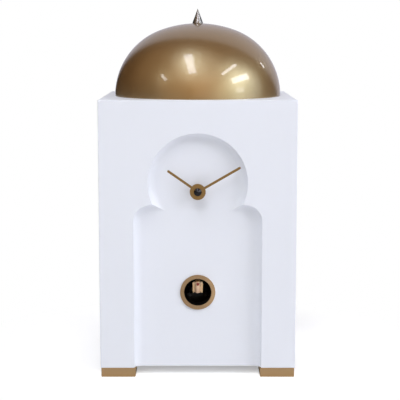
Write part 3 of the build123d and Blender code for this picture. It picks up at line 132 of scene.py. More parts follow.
softbox("window_light", (65, 24.5), (1.5, 0.42), 16.6, 5, DAYLIGHT)
softbox("window_strip", (54, 40), (1.5, 0.2), 7.6, 20, DAYLIGHT)
softbox("window_pane", (60, 9), (0.6, 0.34), 1.9, 4, DAYLIGHT)
ceiling_strip = softbox(
    "ceiling_strip", CEILING_WAY, (0.5, 1.9), 22, CEILING_ROLL, (0.96, 0.99, 1.2)
)
ceiling_wash = softbox(
    "ceiling_wash", CEILING_WAY, (2.1, 2.5), 41, CEILING_ROLL, (1.01, 0.99, 0.88)
)
ceiling_wash.visible_glossy = False
softbox("left_spot", (-51.7, 28), (0.2, 0.6), 2.6, 54)
softbox("rear_window", (123.2, 23.7), (0.1, 0.3), 0.8, 10)
softbox("front_fill", (-38, 18), (2.6, 2.0), 2.5, distance=3.2)

# %% [markdown]
# A lamp, the room and all finishes are built from nodes. An input of a node is either fed by a
# socket of another node or has a value of its own. Each of these helpers adds one node with all its
# inputs and gives back the socket that the next node reads, so a chain of nodes reads like a sum.

# %% Helpers for nodes
NUMBER_STEPS = ("DOT_PRODUCT", "DISTANCE", "LENGTH")


def feed(node, inputs):
    """Feeds inputs, by name or number, from a socket or with a value; colours get an alpha of 1."""
    for key, source in inputs.items():
        socket = node.inputs[key]
        if isinstance(source, bpy.types.NodeSocket):
            node.id_data.links.new(source, socket)
        elif socket.type == "RGBA":
            socket.default_value = (*source, 1.0)
        else:
            socket.default_value = source


def add_node(tree, kind, inputs=(), **settings):
    """A node with its settings and its inputs."""
    node = tree.nodes.new(kind)
    for key, value in settings.items():
        setattr(node, key, value)
    feed(node, dict(inputs))
    return node


def calc(tree, step, *values):
    """The result of one step of arithmetic on numbers."""
    return add_node(tree, "ShaderNodeMath", enumerate(values), operation=step).outputs[0]


def calc_vector(tree, step, *values):
    """The result of one step of arithmetic on vectors, which is a number for some steps."""
    node = add_node(tree, "ShaderNodeVectorMath", enumerate(values), operation=step)
    return node.outputs["Value" if step in NUMBER_STEPS else "Vector"]


def axes(tree, vector):
    """The sockets X, Y and Z of a vector."""
    return add_node(tree, "ShaderNodeSeparateXYZ", {"Vector": vector}).outputs


def faded(tree, value, start, end, low=0.0, high=1.0, kind="LINEAR"):
    """A number that goes from low to high while the value goes from start to end."""
    inputs = {"Value": value, "From Min": start, "From Max": end, "To Min": low, "To Max": high}
    return add_node(tree, "ShaderNodeMapRange", inputs, interpolation_type=kind).outputs["Result"]


def added(tree, first, second):
    """The light of two shaders together."""
    return add_node(tree, "ShaderNodeAddShader", {0: first, 1: second}).outputs["Shader"]


def chosen(tree, mask, under, over):
    """One shader where the mask is 0 and another where it is 1."""
    inputs = {"Fac": mask, 1: under, 2: over}
    return add_node(tree, "ShaderNodeMixShader", inputs).outputs["Shader"]


# %% [markdown]
# The lamp on the ceiling has a louvre, and the dome mirrors its bars. Bars could be modelled in
# front of the lamp, but a light can have nodes too: Parametric gives the place on the lamp's face
# from 0 to 1, its fraction after a multiplication makes cells, and the rim of each cell is darker.

# %% Louvre of the ceiling lamp
LOUVRE_CELLS = (3.0, 8.0)
LOUVRE_BAR = 0.24
BAR_LIGHT = 0.1
CELL_LIGHT = 1.4

ceiling_strip.data.use_nodes = True
louvre = ceiling_strip.data.node_tree
lamp_axes = axes(louvre, add_node(louvre, "ShaderNodeNewGeometry").outputs["Parametric"])
open_parts = []
for axis, cells in zip("XY", LOUVRE_CELLS):
    within_cell = calc(louvre, "FRACT", calc(louvre, "MULTIPLY", lamp_axes[axis], cells))
    open_parts.append(calc(louvre, "GREATER_THAN", within_cell, LOUVRE_BAR))
both_open = calc(louvre, "MULTIPLY", *open_parts)
louvre_light = faded(louvre, both_open, 0.0, 1.0, BAR_LIGHT, CELL_LIGHT)
feed(louvre.nodes["Emission"], {"Strength": louvre_light})
print("louvre nodes:", len(louvre.nodes))

# %% [markdown]
# The bird stands deep behind its window, where the wide lamps hardly reach. A narrow spot lights it
# and nothing round it. The spot stands to the right, so light that passes the bird falls on the
# shaded side of the tube behind the window.

# %% Light on the bird
BIRD_PLACE = Vector((0.0, -0.072, 0.1072))
SNOOT_PLACE = (0.3, -1.6, 0.2)
SNOOT_REACH = 0.0086
SNOOT_POWER = 74.0

snoot = add_object("bird_snoot", bpy.data.lights.new("bird_snoot", "SPOT"))
snoot.location = SNOOT_PLACE
to_bird = BIRD_PLACE - snoot.location
snoot.rotation_euler = to_bird.to_track_quat("-Z", "Y").to_euler()
snoot.data.spot_size = 2.0 * SNOOT_REACH / to_bird.length
snoot.data.spot_blend = 0.4
snoot.data.shadow_soft_size = 0.01
snoot.data.energy = SNOOT_POWER
print("spot on the bird:", round(degrees(snoot.data.spot_size), 2), "degrees wide")

# %% [markdown]
# The camera should see pure white behind the clock, but the clock has to stand in a room. Light
# Path tells the rays apart: camera rays find white, rays from dull surfaces find a dim grey room,
# and rays from glossy ones find the warm places in front that the dome mirrors between its lamps.
# All surfaces see a white wall behind the clock and a bright window on the right. Each such place
# compares the direction of a ray with one that points at its middle, so no picture of a room is
# needed, and its edge is as soft as wanted.

# %% World
world = bpy.data.worlds.new("studio")
bpy.context.scene.world = world
world.use_nodes = True
sky = world.node_tree
sky.nodes.clear()
ray_kinds = add_node(sky, "ShaderNodeLightPath").outputs
ray_direction = add_node(sky, "ShaderNodeTexCoord").outputs["Generated"]


def wall(colour, strength):
    """A part of the room that shines."""
    inputs = {"Color": colour, "Strength": strength}
    return add_node(sky, "ShaderNodeBackground", inputs).outputs["Background"]


def glow(turn, rise, from_angle, to_angle, strength, colour):
    """A part of the room around a direction, full inside one angle and gone outside the other."""
    toward = calc_vector(sky, "DOT_PRODUCT", ray_direction, way_to(turn, rise))
    full, gone = cos(radians(from_angle)), cos(radians(to_angle))
    return wall(colour, faded(sky, toward, gone, full, 0.0, strength, "SMOOTHSTEP"))


def together(whole, *others):
    """Several parts of the room as one."""
    for other in others:
        whole = added(sky, whole, other)
    return whole


mirrored_room = together(
    glow(20, 12, 4, 34, 0.8, (1.0, 0.64, 0.44)),
    glow(-22, 14, 4, 40, 0.42, (1.0, 0.45, 0.05)),
    glow(-75, 40, 8, 45, 0.26, (1.0, 0.63, 0.36)),
    glow(0, 50, 4, 40, 0.92, (1.0, 0.84, 0.68)),
    glow(45, 5, 4, 30, 0.95, (1.0, 1.0, 0.77)),
)
dim_room = wall((0.97, 0.98, 0.97), 0.17)
lit_room = together(
    chosen(sky, ray_kinds["Is Glossy Ray"], dim_room, mirrored_room),
    glow(168, 32, 34, 46, 0.56, (1.0, 0.97, 1.1)),
    glow(71, 13, 8, 34, 1.35, (1.0, 1.0, 0.95)),
)
whole_world = chosen(sky, ray_kinds["Is Camera Ray"], lit_room, wall((1.0, 1.0, 1.0), 1.0))
add_node(sky, "ShaderNodeOutputWorld", {"Surface": whole_world})
print("world nodes:", len(sky.nodes))

# %% [markdown]
# Every finish in this notebook is a Principled BSDF with a few nodes in front of it. Patterns read
# Object coordinates, which stay on the piece when it moves. These helpers start a material, add the
# nodes that most finishes need, and give a finish to CAD pieces. What is the same all over a
# surface goes straight on the shader.

# %% Helpers for finishes


def srgb(red, green, blue):
    """A colour as read from a screen, turned into the linear values that shaders work with."""
    return tuple((value / 255) ** 2.2 for value in (red, green, blue))


def new_finish(name, colour, roughness, plain=()):
    """A material, its nodes and its shader, with more values that are plain numbers or colours."""
    finish = bpy.data.materials.new(name)
    finish.use_nodes = True
    shader = finish.node_tree.nodes["Principled BSDF"]
    feed(shader, {"Base Color": colour, "Roughness": roughness, **dict(plain)})
    return finish, finish.node_tree, shader


def object_place(tree):
    """Where a point of the surface is, in metres."""
    return add_node(tree, "ShaderNodeTexCoord").outputs["Object"]


def noise(tree, place, scale, detail=2.0, roughness=0.5):
    """A cloudy pattern from 0 to 1, with about as many clouds in a metre as its scale says."""
    inputs = {"Vector": place, "Scale": scale, "Detail": detail, "Roughness": roughness}
    return add_node(tree, "ShaderNodeTexNoise", inputs).outputs["Fac"]


def mixed(tree, mask, under, over, kind="RGBA"):
    """One colour or number where the mask is 0 and another where it is 1."""
    inputs = {"Factor": mask, "A": under, "B": over}
    return add_node(tree, "ShaderNodeMix", inputs, data_type=kind).outputs["Result"]


def bumped(tree, height, strength, distance=0.0001):
    """A normal that makes a pattern look raised."""
    inputs = {"Height": height, "Strength": strength, "Distance": distance}
    return add_node(tree, "ShaderNodeBump", inputs).outputs["Normal"]


def wear(finish, *names):
    """Gives the finish to the CAD pieces with these names."""
    for name in names:
        nodes[name].data.materials.clear()
        nodes[name].data.materials.append(finish)
    print(finish.name + ":", ", ".join(names))


# %% [markdown]
# Sprayed lacquer is never perfectly flat: it has a faint orange peel, and its colour and gloss
# drift a little from one place to the next. This is the same effect on the white boards and on all
# golden pieces, so it is one node group with a size, a depth and an amount of drift. The group only
# puts out a colour, a roughness and a height, and each material keeps its own shader.

# %% Node group: sprayed skin
SPRAY_INPUTS = (
    ("Colour", "Color", (0.8, 0.8, 0.8, 1.0)),
    ("Peel Scale", "Float", 400.0),
    ("Drift Scale", "Float", 9.0),
    ("Drift", "Float", 0.02),
    ("Gloss", "Float", 0.4),
    ("Gloss Drift", "Float", 0.05),
)
SPRAY_OUTPUTS = (("Colour", "Color"), ("Roughness", "Float"), ("Height", "Float"))
PEEL_DISTANCE = 0.0002

spray = bpy.data.node_groups.new("sprayed_skin", "ShaderNodeTree")
for name, kind, start in SPRAY_INPUTS:
    socket = spray.interface.new_socket(name, in_out="INPUT", socket_type="NodeSocket" + kind)
    socket.default_value = start
for name, kind in SPRAY_OUTPUTS:
    spray.interface.new_socket(name, in_out="OUTPUT", socket_type="NodeSocket" + kind)
given = add_node(spray, "NodeGroupInput").outputs
skin_place = object_place(spray)
drifting = noise(spray, skin_place, given["Drift Scale"], 3.0)
centred = calc(spray, "SUBTRACT", drifting, 0.5)
brightness = calc(spray, "MULTIPLY_ADD", centred, given["Drift"], 1.0)
tinted = add_node(
    spray, "ShaderNodeVectorMath", {0: given["Colour"], "Scale": brightness}, operation="SCALE"
)
skin_result = {
    "Colour": tinted.outputs["Vector"],
    "Roughness": calc(spray, "MULTIPLY_ADD", centred, given["Gloss Drift"], given["Gloss"]),
    "Height": noise(spray, skin_place, given["Peel Scale"]),
}
add_node(spray, "NodeGroupOutput", skin_result)
print("sprayed skin nodes:", len(spray.nodes))


def sprayed(shader, colour, peel, drift, gloss):
    """Puts the skin on a shader. Peel is a scale and a depth, gloss a roughness and its drift."""
    (peel_scale, peel_depth), (roughness, gloss_drift) = peel, gloss
    values = {
        "Colour": colour,
        "Peel Scale": peel_scale,
        "Drift": drift,
        "Gloss": roughness,
        "Gloss Drift": gloss_drift,
    }
    tree = shader.id_data
    skin = add_node(tree, "ShaderNodeGroup", values, node_tree=spray).outputs
    normal = bumped(tree, skin["Height"], peel_depth, PEEL_DISTANCE)
    feed(shader, {"Base Color": skin["Colour"], "Roughness": skin["Roughness"], "Normal": normal})
    return skin


# %% [markdown]
# The case is board with a white silk lacquer that leans a little towards blue. Silk lacquer
# scatters the light widely, so the roughness is high and the peel is very shallow.

# %% White lacquer
white_colour = srgb(232, 236, 245)
white, white_tree, white_shader = new_finish("white_lacquer", white_colour, 0.45)
white_skin = sprayed(white_shader, white_colour, (700.0, 0.05), 0.02, (0.45, 0.06))
wear(white, "front_panel", "left_side_panel", "right_side_panel", "top_panel")
wear(white, "bottom_panel", "back_panel", "rear_door")

# %% [markdown]
# Only the outside of such a case is lacquered. Inside, the fibreboard stays raw: light brown, dull
# and full of short fibres. The same material does both, because a board is one CAD piece. A mask
# asks whether a point lies in the box of the room inside the case, a little larger than that room
# so that its walls count. A little white dust from the spraying has settled on the raw board.

# %% Raw board inside the case
ROOM_MIDDLE = (0.0, 0.0065, 0.1835)
ROOM_HALF = (0.1133, 0.1128, 0.1598)
RAW_ROUGHNESS = 0.88

board_place = object_place(white_tree)
from_middle = calc_vector(white_tree, "SUBTRACT", board_place, ROOM_MIDDLE)
to_each_side = calc_vector(white_tree, "ABSOLUTE", from_middle)
beyond = axes(white_tree, calc_vector(white_tree, "SUBTRACT", to_each_side, ROOM_HALF))
farther = calc(white_tree, "MAXIMUM", beyond["X"], beyond["Y"])
farthest = calc(white_tree, "MAXIMUM", farther, beyond["Z"])
in_room = calc(white_tree, "LESS_THAN", farthest, 0.0)
fibres = noise(white_tree, board_place, 420.0, 8.0, 0.75)
raw_board = mixed(white_tree, fibres, srgb(150, 118, 84), srgb(206, 176, 138))
dust = faded(white_tree, noise(white_tree, board_place, 34.0), 0.45, 0.8, high=0.1)
dusty_board = mixed(white_tree, dust, raw_board, white_colour)
board_colour = mixed(white_tree, in_room, white_skin["Colour"], dusty_board)
board_gloss = mixed(white_tree, in_room, white_skin["Roughness"], RAW_ROUGHNESS, "FLOAT")
feed(white_shader, {"Base Color": board_colour, "Roughness": board_gloss})
print("lacquer nodes:", len(white_tree.nodes))

# %% [markdown]
# The dome is sprayed with a brown-gold paint full of pale flakes, under a glossy clear coat. The
# paint itself scatters light widely, which is the Base Color. The flakes mirror it in a broad,
# paler glow: a high IOR makes that reflection strong, and Specular Tint colours it. The clear coat
# mirrors the lamps sharply, so it has its own low roughness.

# %% Golden metallic paint
gold_colour = (0.15, 0.066, 0.018)
flakes = {"IOR": 3.0, "Specular Tint": (1.0, 0.95, 0.58)}
clear_coat = {"Coat Weight": 1.0, "Coat Roughness": 0.06}
gold, _, gold_shader = new_finish("gold_lacquer", gold_colour, 0.38, flakes | clear_coat)
sprayed(gold_shader, gold_colour, (2600.0, 0.12), 0.06, (0.38, 0.04))
wear(gold, "dome_shell")

# %% [markdown]
# The feet, the hands and the window ring wear a golden paint without the thick clear coat, so they
# look flatter and a little darker than the dome. The three differ only in shade and gloss, so a
# loop makes them.

# %% Satin gold
FEET = [corner + "_foot" for corner in ("front_left", "front_right", "rear_left", "rear_right")]

for name, colour, roughness, metallic, pieces in (
    ("gold_satin", srgb(166, 139, 101), 0.5, 0.55, FEET),
    ("hand_gold", srgb(133, 106, 63), 0.45, 0.55, ["hour_hand", "minute_hand"]),
    ("ring_gold", srgb(149, 123, 90), 0.6, 0.35, ["window_ring"]),
):
    finish, _, shader = new_finish(name, colour, roughness, {"Metallic": metallic})
    sprayed(shader, colour, (1800.0, 0.1), 0.05, (roughness, 0.06))
    wear(finish, *pieces)

# %% [markdown]
# Metal parts are turned, pressed or plated, and none is a perfect mirror: each has a fine grain
# from its making. One helper gives every metal a noise that varies its roughness and raises a very
# shallow bump. Polished steel has a wide faint grain, and plated screws have a fine strong one.

# %% Turned and plated metals


def metal(name, colour, roughness, grain=900.0, depth=0.3):
    """A metal with a fine grain in its gloss and a shallow bump."""
    finish, tree, shader = new_finish(name, colour, roughness, {"Metallic": 1.0})
    grains = noise(tree, object_place(tree), grain, 4.0)
    gloss = faded(tree, grains, 0.0, 1.0, roughness * 0.7, roughness * 1.3)
    feed(shader, {"Roughness": gloss, "Normal": bumped(tree, grains, depth)})
    return finish


wear(metal("polished_steel", srgb(146, 147, 147), 0.29, 160.0, 0.002), "finial")
wear(metal("rod_steel", srgb(74, 76, 80), 0.3, depth=0.1), "guide_rods")
wear(metal("black_nickel", srgb(46, 46, 48), 0.1, 300.0, 0.01), "cap_nut")
zinc = metal("zinc_steel", srgb(180, 182, 186), 0.35)
wear(zinc, "foot_screws", "back_panel_screws", "chassis_screws")
wear(zinc, "dome_tie_rod", "dome_nut", "bird_motor", "door_strike")
brass = metal("hinge_brass", srgb(201, 168, 98), 0.3)
wear(brass, "hinge_frame_leaves", "hinge_door_leaves", "hinge_pins")
wear(brass, "hinge_frame_screws", "hinge_door_screws")
wear(brass, "bushing_washer", "bushing_nut", "minute_arbor")
contact = metal("contact_steel", srgb(196, 196, 190), 0.3)
wear(contact, "battery_contacts")

# %% [markdown]
# Moulded plastic and rubber have a fine even texture from the mould, and so do a resin board and
# the paper of a speaker at this size. One helper makes each colour of them. Behind the window,
# black has to stay black, so the two blacks there get a weaker reflection. The tube behind the
# window is black plastic, made darker still with painted shade for the deep inside of the window.

# %% Plastics, rubber and board


def moulded(name, colour, roughness, grain=1500.0, depth=0.15, reflection=0.5):
    """A moulded plastic or rubber with the fine texture of its mould."""
    plain = {"Specular IOR Level": reflection}
    finish, tree, shader = new_finish(name, colour, roughness, plain)
    grains = noise(tree, object_place(tree), grain)
    darker, paler = ([value * change for value in colour] for change in (0.88, 1.12))
    shade = mixed(tree, grains, darker, paler)
    feed(shader, {"Base Color": shade, "Normal": bumped(tree, grains, depth)})
    return finish


black_plastic = moulded("black_plastic", srgb(17, 17, 18), 0.6, reflection=0.15)
jacket = moulded("cell_jacket", srgb(58, 62, 70), 0.3)
grey_plastic = moulded("grey_plastic", srgb(120, 122, 126), 0.5)
gear_plastic = moulded("gear_plastic", srgb(226, 222, 208), 0.4)
wear(black_plastic, "movement_front_case", "movement_back_case", "battery_tray")
wear(black_plastic, "cuckoo_chassis", "bird_carriage")
wear(jacket, "battery_cells")
wear(grey_plastic, "setting_knob", "sound_switch", "test_button", "step_motor")
wear(gear_plastic, "hour_wheel", "motion_wheel", "motor_pinion")
wear(gear_plastic, "carriage_pinion", "bird_motor_pinion", "dome_seat_disc")
# The tube's near-black colour is its own black plastic plus painted shade for the inside of the
# window.
wear(moulded("tube_black_shade", srgb(8, 8, 8), 0.9, reflection=0.1), "window_tube")
wear(moulded("gasket_rubber", srgb(30, 30, 30), 0.8), "movement_gasket")
wear(moulded("board_resin", srgb(18, 46, 31), 0.5), "control_board")
wear(moulded("speaker_black", srgb(30, 30, 32), 0.7), "speaker")
wear(moulded("catch_plastic", srgb(214, 214, 212), 0.5), "door_magnet")

# %% [markdown]
# Four battens of soft wood hold the boards together at the corners, and only the open door shows
# them. Wood grain is noise that is stretched along the batten, so a Mapping node makes its cells
# long in the Z direction. A picture of wood would need an image and a map of the surface.

# %% Wood of the battens
WOOD_STRETCH = (60.0, 60.0, 4.0)

wood, wood_tree, wood_shader = new_finish("batten_wood", srgb(205, 172, 126), 0.6)
along_grain = add_node(
    wood_tree, "ShaderNodeMapping", {"Vector": object_place(wood_tree), "Scale": WOOD_STRETCH}
)
wood_grain = noise(wood_tree, along_grain.outputs["Vector"], 3.0, 6.0)
wood_shade = mixed(wood_tree, wood_grain, srgb(222, 192, 148), srgb(176, 138, 92))
feed(wood_shader, {"Base Color": wood_shade})
wear(wood, "corner_battens")

# %% [markdown]
# The bird's wings and beak are painted in one colour each, tan and red, and the paint has the same
# fine texture as moulded plastic. The body has several colours, which its own cell gives it.

# %% Bird finishes
tan_paint = moulded("bird_tan", srgb(214, 180, 134), 0.5)
wear(tan_paint, "left_wing", "right_wing")
wear(moulded("beak_red", srgb(150, 34, 30), 0.4), "bird_beak")

# %% [markdown]
# The CAD pieces are right in size, but a few need finer shapes. New pieces are made with bmesh,
# which starts from a simple shape and pushes, cuts and turns it. Two helpers grow a shape ring by
# ring or turn it from a profile as on a lathe. Another closes the mesh and hands the piece to the
# frame with its body, its finish and the CAD piece that it stands for.

# %% Helpers for new pieces
MM = 0.001
SHARP_ANGLE = radians(32)


def only(kind, items):
    """The vertices or the edges among the items that an operator gives back."""
    return [item for item in items if isinstance(item, kind)]


def edges_at(verts):
    """All edges that meet at the vertices."""
    return list({edge for vert in verts for edge in vert.link_edges})


def grow(work, edges, radius, steps):
    """Extrudes a ring of edges with a radius along +Z, through (radius, rise) steps in mm."""
    for next_radius, rise in steps:
        new = bmesh.ops.extrude_edge_only(work, edges=edges)["geom"]
        verts, edges = only(bmesh.types.BMVert, new), only(bmesh.types.BMEdge, new)
        factor = next_radius / radius
        bmesh.ops.scale(work, vec=(factor, factor, 1.0), verts=verts)
        bmesh.ops.translate(work, vec=(0.0, 0.0, rise * MM), verts=verts)
        radius = next_radius
    return edges


def turned(profile, segments):
    """A shape turned round Z from (radius, height) points in mm, closed at both ends."""
    work = bmesh.new()
    chain = [work.verts.new((radius * MM, 0.0, height * MM)) for radius, height in profile]
    edges = [work.edges.new(pair) for pair in zip(chain, chain[1:])]
    bmesh.ops.spin(
        work,
        geom=chain + edges,
        cent=(0.0, 0.0, 0.0),
        axis=(0.0, 0.0, 1.0),
        angle=2 * pi,
        steps=segments,
        use_merge=True,
    )
    bmesh.ops.remove_doubles(work, verts=work.verts, dist=1e-7)
    return work


def aim_at(point, toward):
    """The transform that puts a shape made along +Z at a point in mm, facing a direction."""
    turn = Vector(toward).to_track_quat("Z", "Y").to_matrix().to_4x4()
    return Matrix.Translation(Vector(point) * MM) @ turn


def add_copies(target, shape, transforms):
    """Adds a shape to a piece once for every transform."""
    shape_data = bpy.data.meshes.new("copied_shape")
    shape.to_mesh(shape_data)
    for transform in transforms:
        before = set(target.verts)
        target.from_mesh(shape_data)
        copied = [vert for vert in target.verts if vert not in before]
        bmesh.ops.transform(target, matrix=transform, verts=copied)
    bpy.data.meshes.remove(shape_data)


def hand_over(name, work, finish, body, stands_for=()):
    """Makes the piece from its mesh and tells the frame where it belongs."""
    bmesh.ops.remove_doubles(work, verts=work.verts, dist=1e-6)
    bmesh.ops.recalc_face_normals(work, faces=work.faces)
    data = bpy.data.meshes.new(name)
    work.to_mesh(data)
    work.free()
    data.materials.append(finish)
    data.shade_smooth()
    data.set_sharp_from_angle(angle=SHARP_ANGLE)
    piece = add_object(name, data)
    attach(piece, body)
    if stands_for:
        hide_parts(*stands_for)
    print(name, "faces:", len(data.polygons))


# %% [markdown]
# Real screws have a cross recess for the driver. A grid of nine squares without its corners gives
# the cross. It is sunk to make the pocket, and its lid is taken off. A ring of faces bridges the
# pocket to the rim of the head, and the rim is then grown into the head and the shank. Cutting a
# cross out of a finished head would leave long thin faces.

# %% Shape of a cross-head screw
POCKET_TAPER = 0.55
RIM_SEGMENTS = 24


def cross_screw(rim, pocket, steps):
    """A screw whose head looks along -Z at z = 0, grown along +Z from its rim. Sizes are in mm."""
    work = bmesh.new()
    bmesh.ops.create_grid(work, x_segments=3, y_segments=3, size=pocket * MM)
    third = pocket * MM / 3
    corners = [
        face
        for face in work.faces
        if min(abs(value) for value in face.calc_center_median()[:2]) > third
    ]
    bmesh.ops.delete(work, geom=corners, context="FACES")
    lid = work.faces[:]
    sunk = only(bmesh.types.BMVert, bmesh.ops.extrude_face_region(work, geom=lid)["geom"])
    bmesh.ops.delete(work, geom=lid, context="FACES")
    bmesh.ops.scale(work, vec=(POCKET_TAPER, POCKET_TAPER, 1.0), verts=sunk)
    bmesh.ops.translate(work, vec=(0.0, 0.0, pocket * MM), verts=sunk)
    mouth = [edge for edge in work.edges if edge.is_boundary]
    ring = bmesh.ops.create_circle(work, radius=rim * MM, segments=RIM_SEGMENTS)["verts"]
    ring_edges = edges_at(ring)
    bmesh.ops.bridge_loops(work, edges=mouth + ring_edges)
    bmesh.ops.contextual_create(work, geom=grow(work, ring_edges, rim, steps))
    return work


# %% [markdown]
# Flat heads sit in the countersinks of the back board, tall heads lie deep in the feet, and round
# heads stand proud of the hinges and of the bird's chassis. A screw is its rim, its pocket and the
# steps that grow the rest. Nobody lines up the recesses of screws, so each screw is turned further
# than the one before.

# %% Screws of the clock
FLAT_HEAD = (2.9, 1.6, ((3.0, 0.12), (1.5, 1.38), (1.5, 12.2), (0.525, 1.25)))
FOOT_HEAD = (3.4, 2.1, ((4.0, 0.7), (4.0, 2.3), (2.0, 0.0), (2.0, 12.0), (0.6, 1.9)))
ROUND_HEAD = (1.1, 0.8, ((1.6, 0.25), (1.9, 0.45), (1.9, 0.3), (1.0, 0.0), (1.0, 4.9)))
DECK_HEAD = (1.6, 1.2, ((2.3, 0.4), (2.6, 0.5), (2.6, 0.7), (1.2, 0.0), (1.2, 7.9)))
INWARDS = (0, -1, 0)
UPWARDS = (0, 0, 1)
TURN_EACH = 37.0

back_places = [(x, 125.0, z) for x in (-107.0, 107.0) for z in (54.0, 183.5, 313.0)]
foot_places = [(x, y, 3.0) for x in (-102.0, 102.0) for y in (-102.0, 102.0)]
frame_places, door_places = (
    [(x, 127.0, z) for z in (89.0, 109.0, 259.0, 279.0)] for x in (-93.8, -75.2)
)
chassis_places = [(x, -102.4, z) for x in (-33.0, 33.0) for z in (77.0, 135.0)]
for node, body, finish, slot, head, toward, places in (
    ("back_panel_screws", "case", zinc, "zinc_steel", FLAT_HEAD, INWARDS, back_places),
    ("foot_screws", "case", zinc, "zinc_steel", FOOT_HEAD, UPWARDS, foot_places),
    ("hinge_frame_screws", "case", brass, "hinge_brass", ROUND_HEAD, INWARDS, frame_places),
    ("hinge_door_screws", "door", brass, "hinge_brass", ROUND_HEAD, INWARDS, door_places),
    ("chassis_screws", "case", zinc, "zinc_steel", DECK_HEAD, INWARDS, chassis_places),
):
    screws = bmesh.new()
    screw = cross_screw(*head)
    transforms = [
        aim_at(place, toward) @ Matrix.Rotation(radians(TURN_EACH * number), 4, "Z")
        for number, place in enumerate(places)
    ]
    add_copies(screws, screw, transforms)
    screw.free()
    hand_over("cross_" + node, screws, finish, body, [node])

# %% [markdown]
# The speaker lies on the bottom board and plays through its slots, so from the open door its back
# shows. First comes the pressed basket with its windows. It is grown from a ring, some of its faces
# are deleted as windows, and the rest is given a thickness.

# %% Basket of the speaker
SPEAKER_PLACE = (0.0, -20.0, 24.0)
BASKET_RIM = 25.4
BASKET_STEPS = (
    (26.0, 0.5), (26.0, 1.4), (25.4, 0.6), (23.6, 0.0),
    (22.8, 1.6), (16.0, 6.6), (13.6, 1.0), (6.8, 0.0),
)
WINDOW_BAND = (4.5, 10.5)
SPOKE_EVERY = 60.0
SPOKE_WIDE = 20.0


def place_in_speaker(name, work, finish, stands_for=()):
    """Moves a part of the speaker from the origin to its place and hands it over."""
    bmesh.ops.translate(work, vec=Vector(SPEAKER_PLACE) * MM, verts=work.verts)
    hand_over(name, work, finish, "case", stands_for)


basket = bmesh.new()
rim = bmesh.ops.create_circle(basket, radius=BASKET_RIM * MM, segments=36)["verts"]
grow(basket, edges_at(rim), BASKET_RIM, BASKET_STEPS)
windows = []
for face in basket.faces:
    middle = face.calc_center_median()
    round_axis = degrees(atan2(middle.y, middle.x)) % SPOKE_EVERY
    if WINDOW_BAND[0] * MM < middle.z < WINDOW_BAND[1] * MM and round_axis > SPOKE_WIDE:
        windows.append(face)
bmesh.ops.delete(basket, geom=windows, context="FACES")
bmesh.ops.recalc_face_normals(basket, faces=basket.faces)
bmesh.ops.solidify(basket, geom=basket.faces[:], thickness=0.6 * MM)
pressed_black = moulded("speaker_basket", srgb(34, 34, 36), 0.45, 2400.0, 0.25)
place_in_speaker("speaker_basket", basket, pressed_black, ["speaker"])

# %% [markdown]
# Inside the basket lies the paper cone, and on its back a magnet between two steel plates. Both are
# round, so each is turned from its profile, which follows the wall out and back.

# %% Cone and magnet of the speaker
CONE_PROFILE = (
    (0.0, 4.0), (5.0, 3.4), (7.0, 5.4), (19.6, 1.2), (20.6, 2.2), (22.2, 1.0),
    (22.2, 0.6), (20.4, 1.6), (19.6, 0.6), (7.0, 4.8), (0.0, 3.4),
)
MAGNET_PROFILE = (
    (0.0, 12.0), (12.4, 12.0), (13.0, 12.4), (13.0, 13.4), (12.6, 13.6), (13.7, 13.9),
    (14.0, 14.2), (14.0, 18.2), (13.7, 18.5), (12.4, 18.6), (12.4, 20.0), (11.9, 20.5),
    (2.6, 20.5), (2.2, 20.1), (2.2, 18.6), (0.0, 18.6),
)

paper = moulded("cone_paper", srgb(52, 50, 47), 0.9, 900.0, 0.5)
place_in_speaker("speaker_cone", turned(CONE_PROFILE, 36), paper)
ferrite = metal("magnet_ferrite", srgb(70, 70, 74), 0.42, 1200.0, 0.3)
place_in_speaker("speaker_magnet", turned(MAGNET_PROFILE, 48), ferrite)

# %% [markdown]
# A battery cell is a steel can in a printed jacket. The jacket is drawn in over both ends, and the
# bare steel shows inside its rims: a flat bottom, and a cap with the nub. Jackets and ends are
# separate turned pieces, because they wear different finishes. The cells lie head to tail.

# %% Battery cells
CELL_ENDS = (((37.0, 68.3, 39.1), (1, 0, 0)), ((87.0, 41.7, 39.1), (-1, 0, 0)))
JACKET_PROFILE = (
    (11.3, 0.5), (11.6, 0.0), (12.7, 0.0), (13.1, 0.5), (13.1, 47.6), (12.8, 48.2),
    (12.0, 48.5), (10.6, 48.5), (10.3, 48.1), (11.2, 47.6), (11.2, 0.9), (11.3, 0.5),
)
BOTTOM_PROFILE = ((0.0, 0.35), (8.6, 0.35), (9.0, 0.7), (11.4, 0.7), (11.4, 1.4), (0.0, 1.4))
CAP_PROFILE = (
    (0.0, 47.4), (10.8, 47.4), (10.8, 47.9), (7.4, 47.9), (6.4, 48.5),
    (4.2, 48.5), (4.0, 48.8), (4.0, 49.8), (3.7, 50.0), (0.0, 50.0),
)

cell_places = [aim_at(place, toward) for place, toward in CELL_ENDS]
jackets = bmesh.new()
ends = bmesh.new()
for target, profile, segments in (
    (jackets, JACKET_PROFILE, 48),
    (ends, BOTTOM_PROFILE, 40),
    (ends, CAP_PROFILE, 40),
):
    shape = turned(profile, segments)
    add_copies(target, shape, cell_places)
    shape.free()
hand_over("cell_jackets", jackets, jacket, "case", ["battery_cells"])
hand_over("cell_ends", ends, contact, "case")

# %% [markdown]
# The print on a jacket is dark with a copper band towards the cap. The band is a mask along X. The
# two cells point opposite ways, so the way that is measured turns round between them.

# %% Copper band of the cells
CELLS_MIDDLE = (0.062, 0.055)
BAND_EDGE = 0.0095
BAND_BLUR = 0.0002

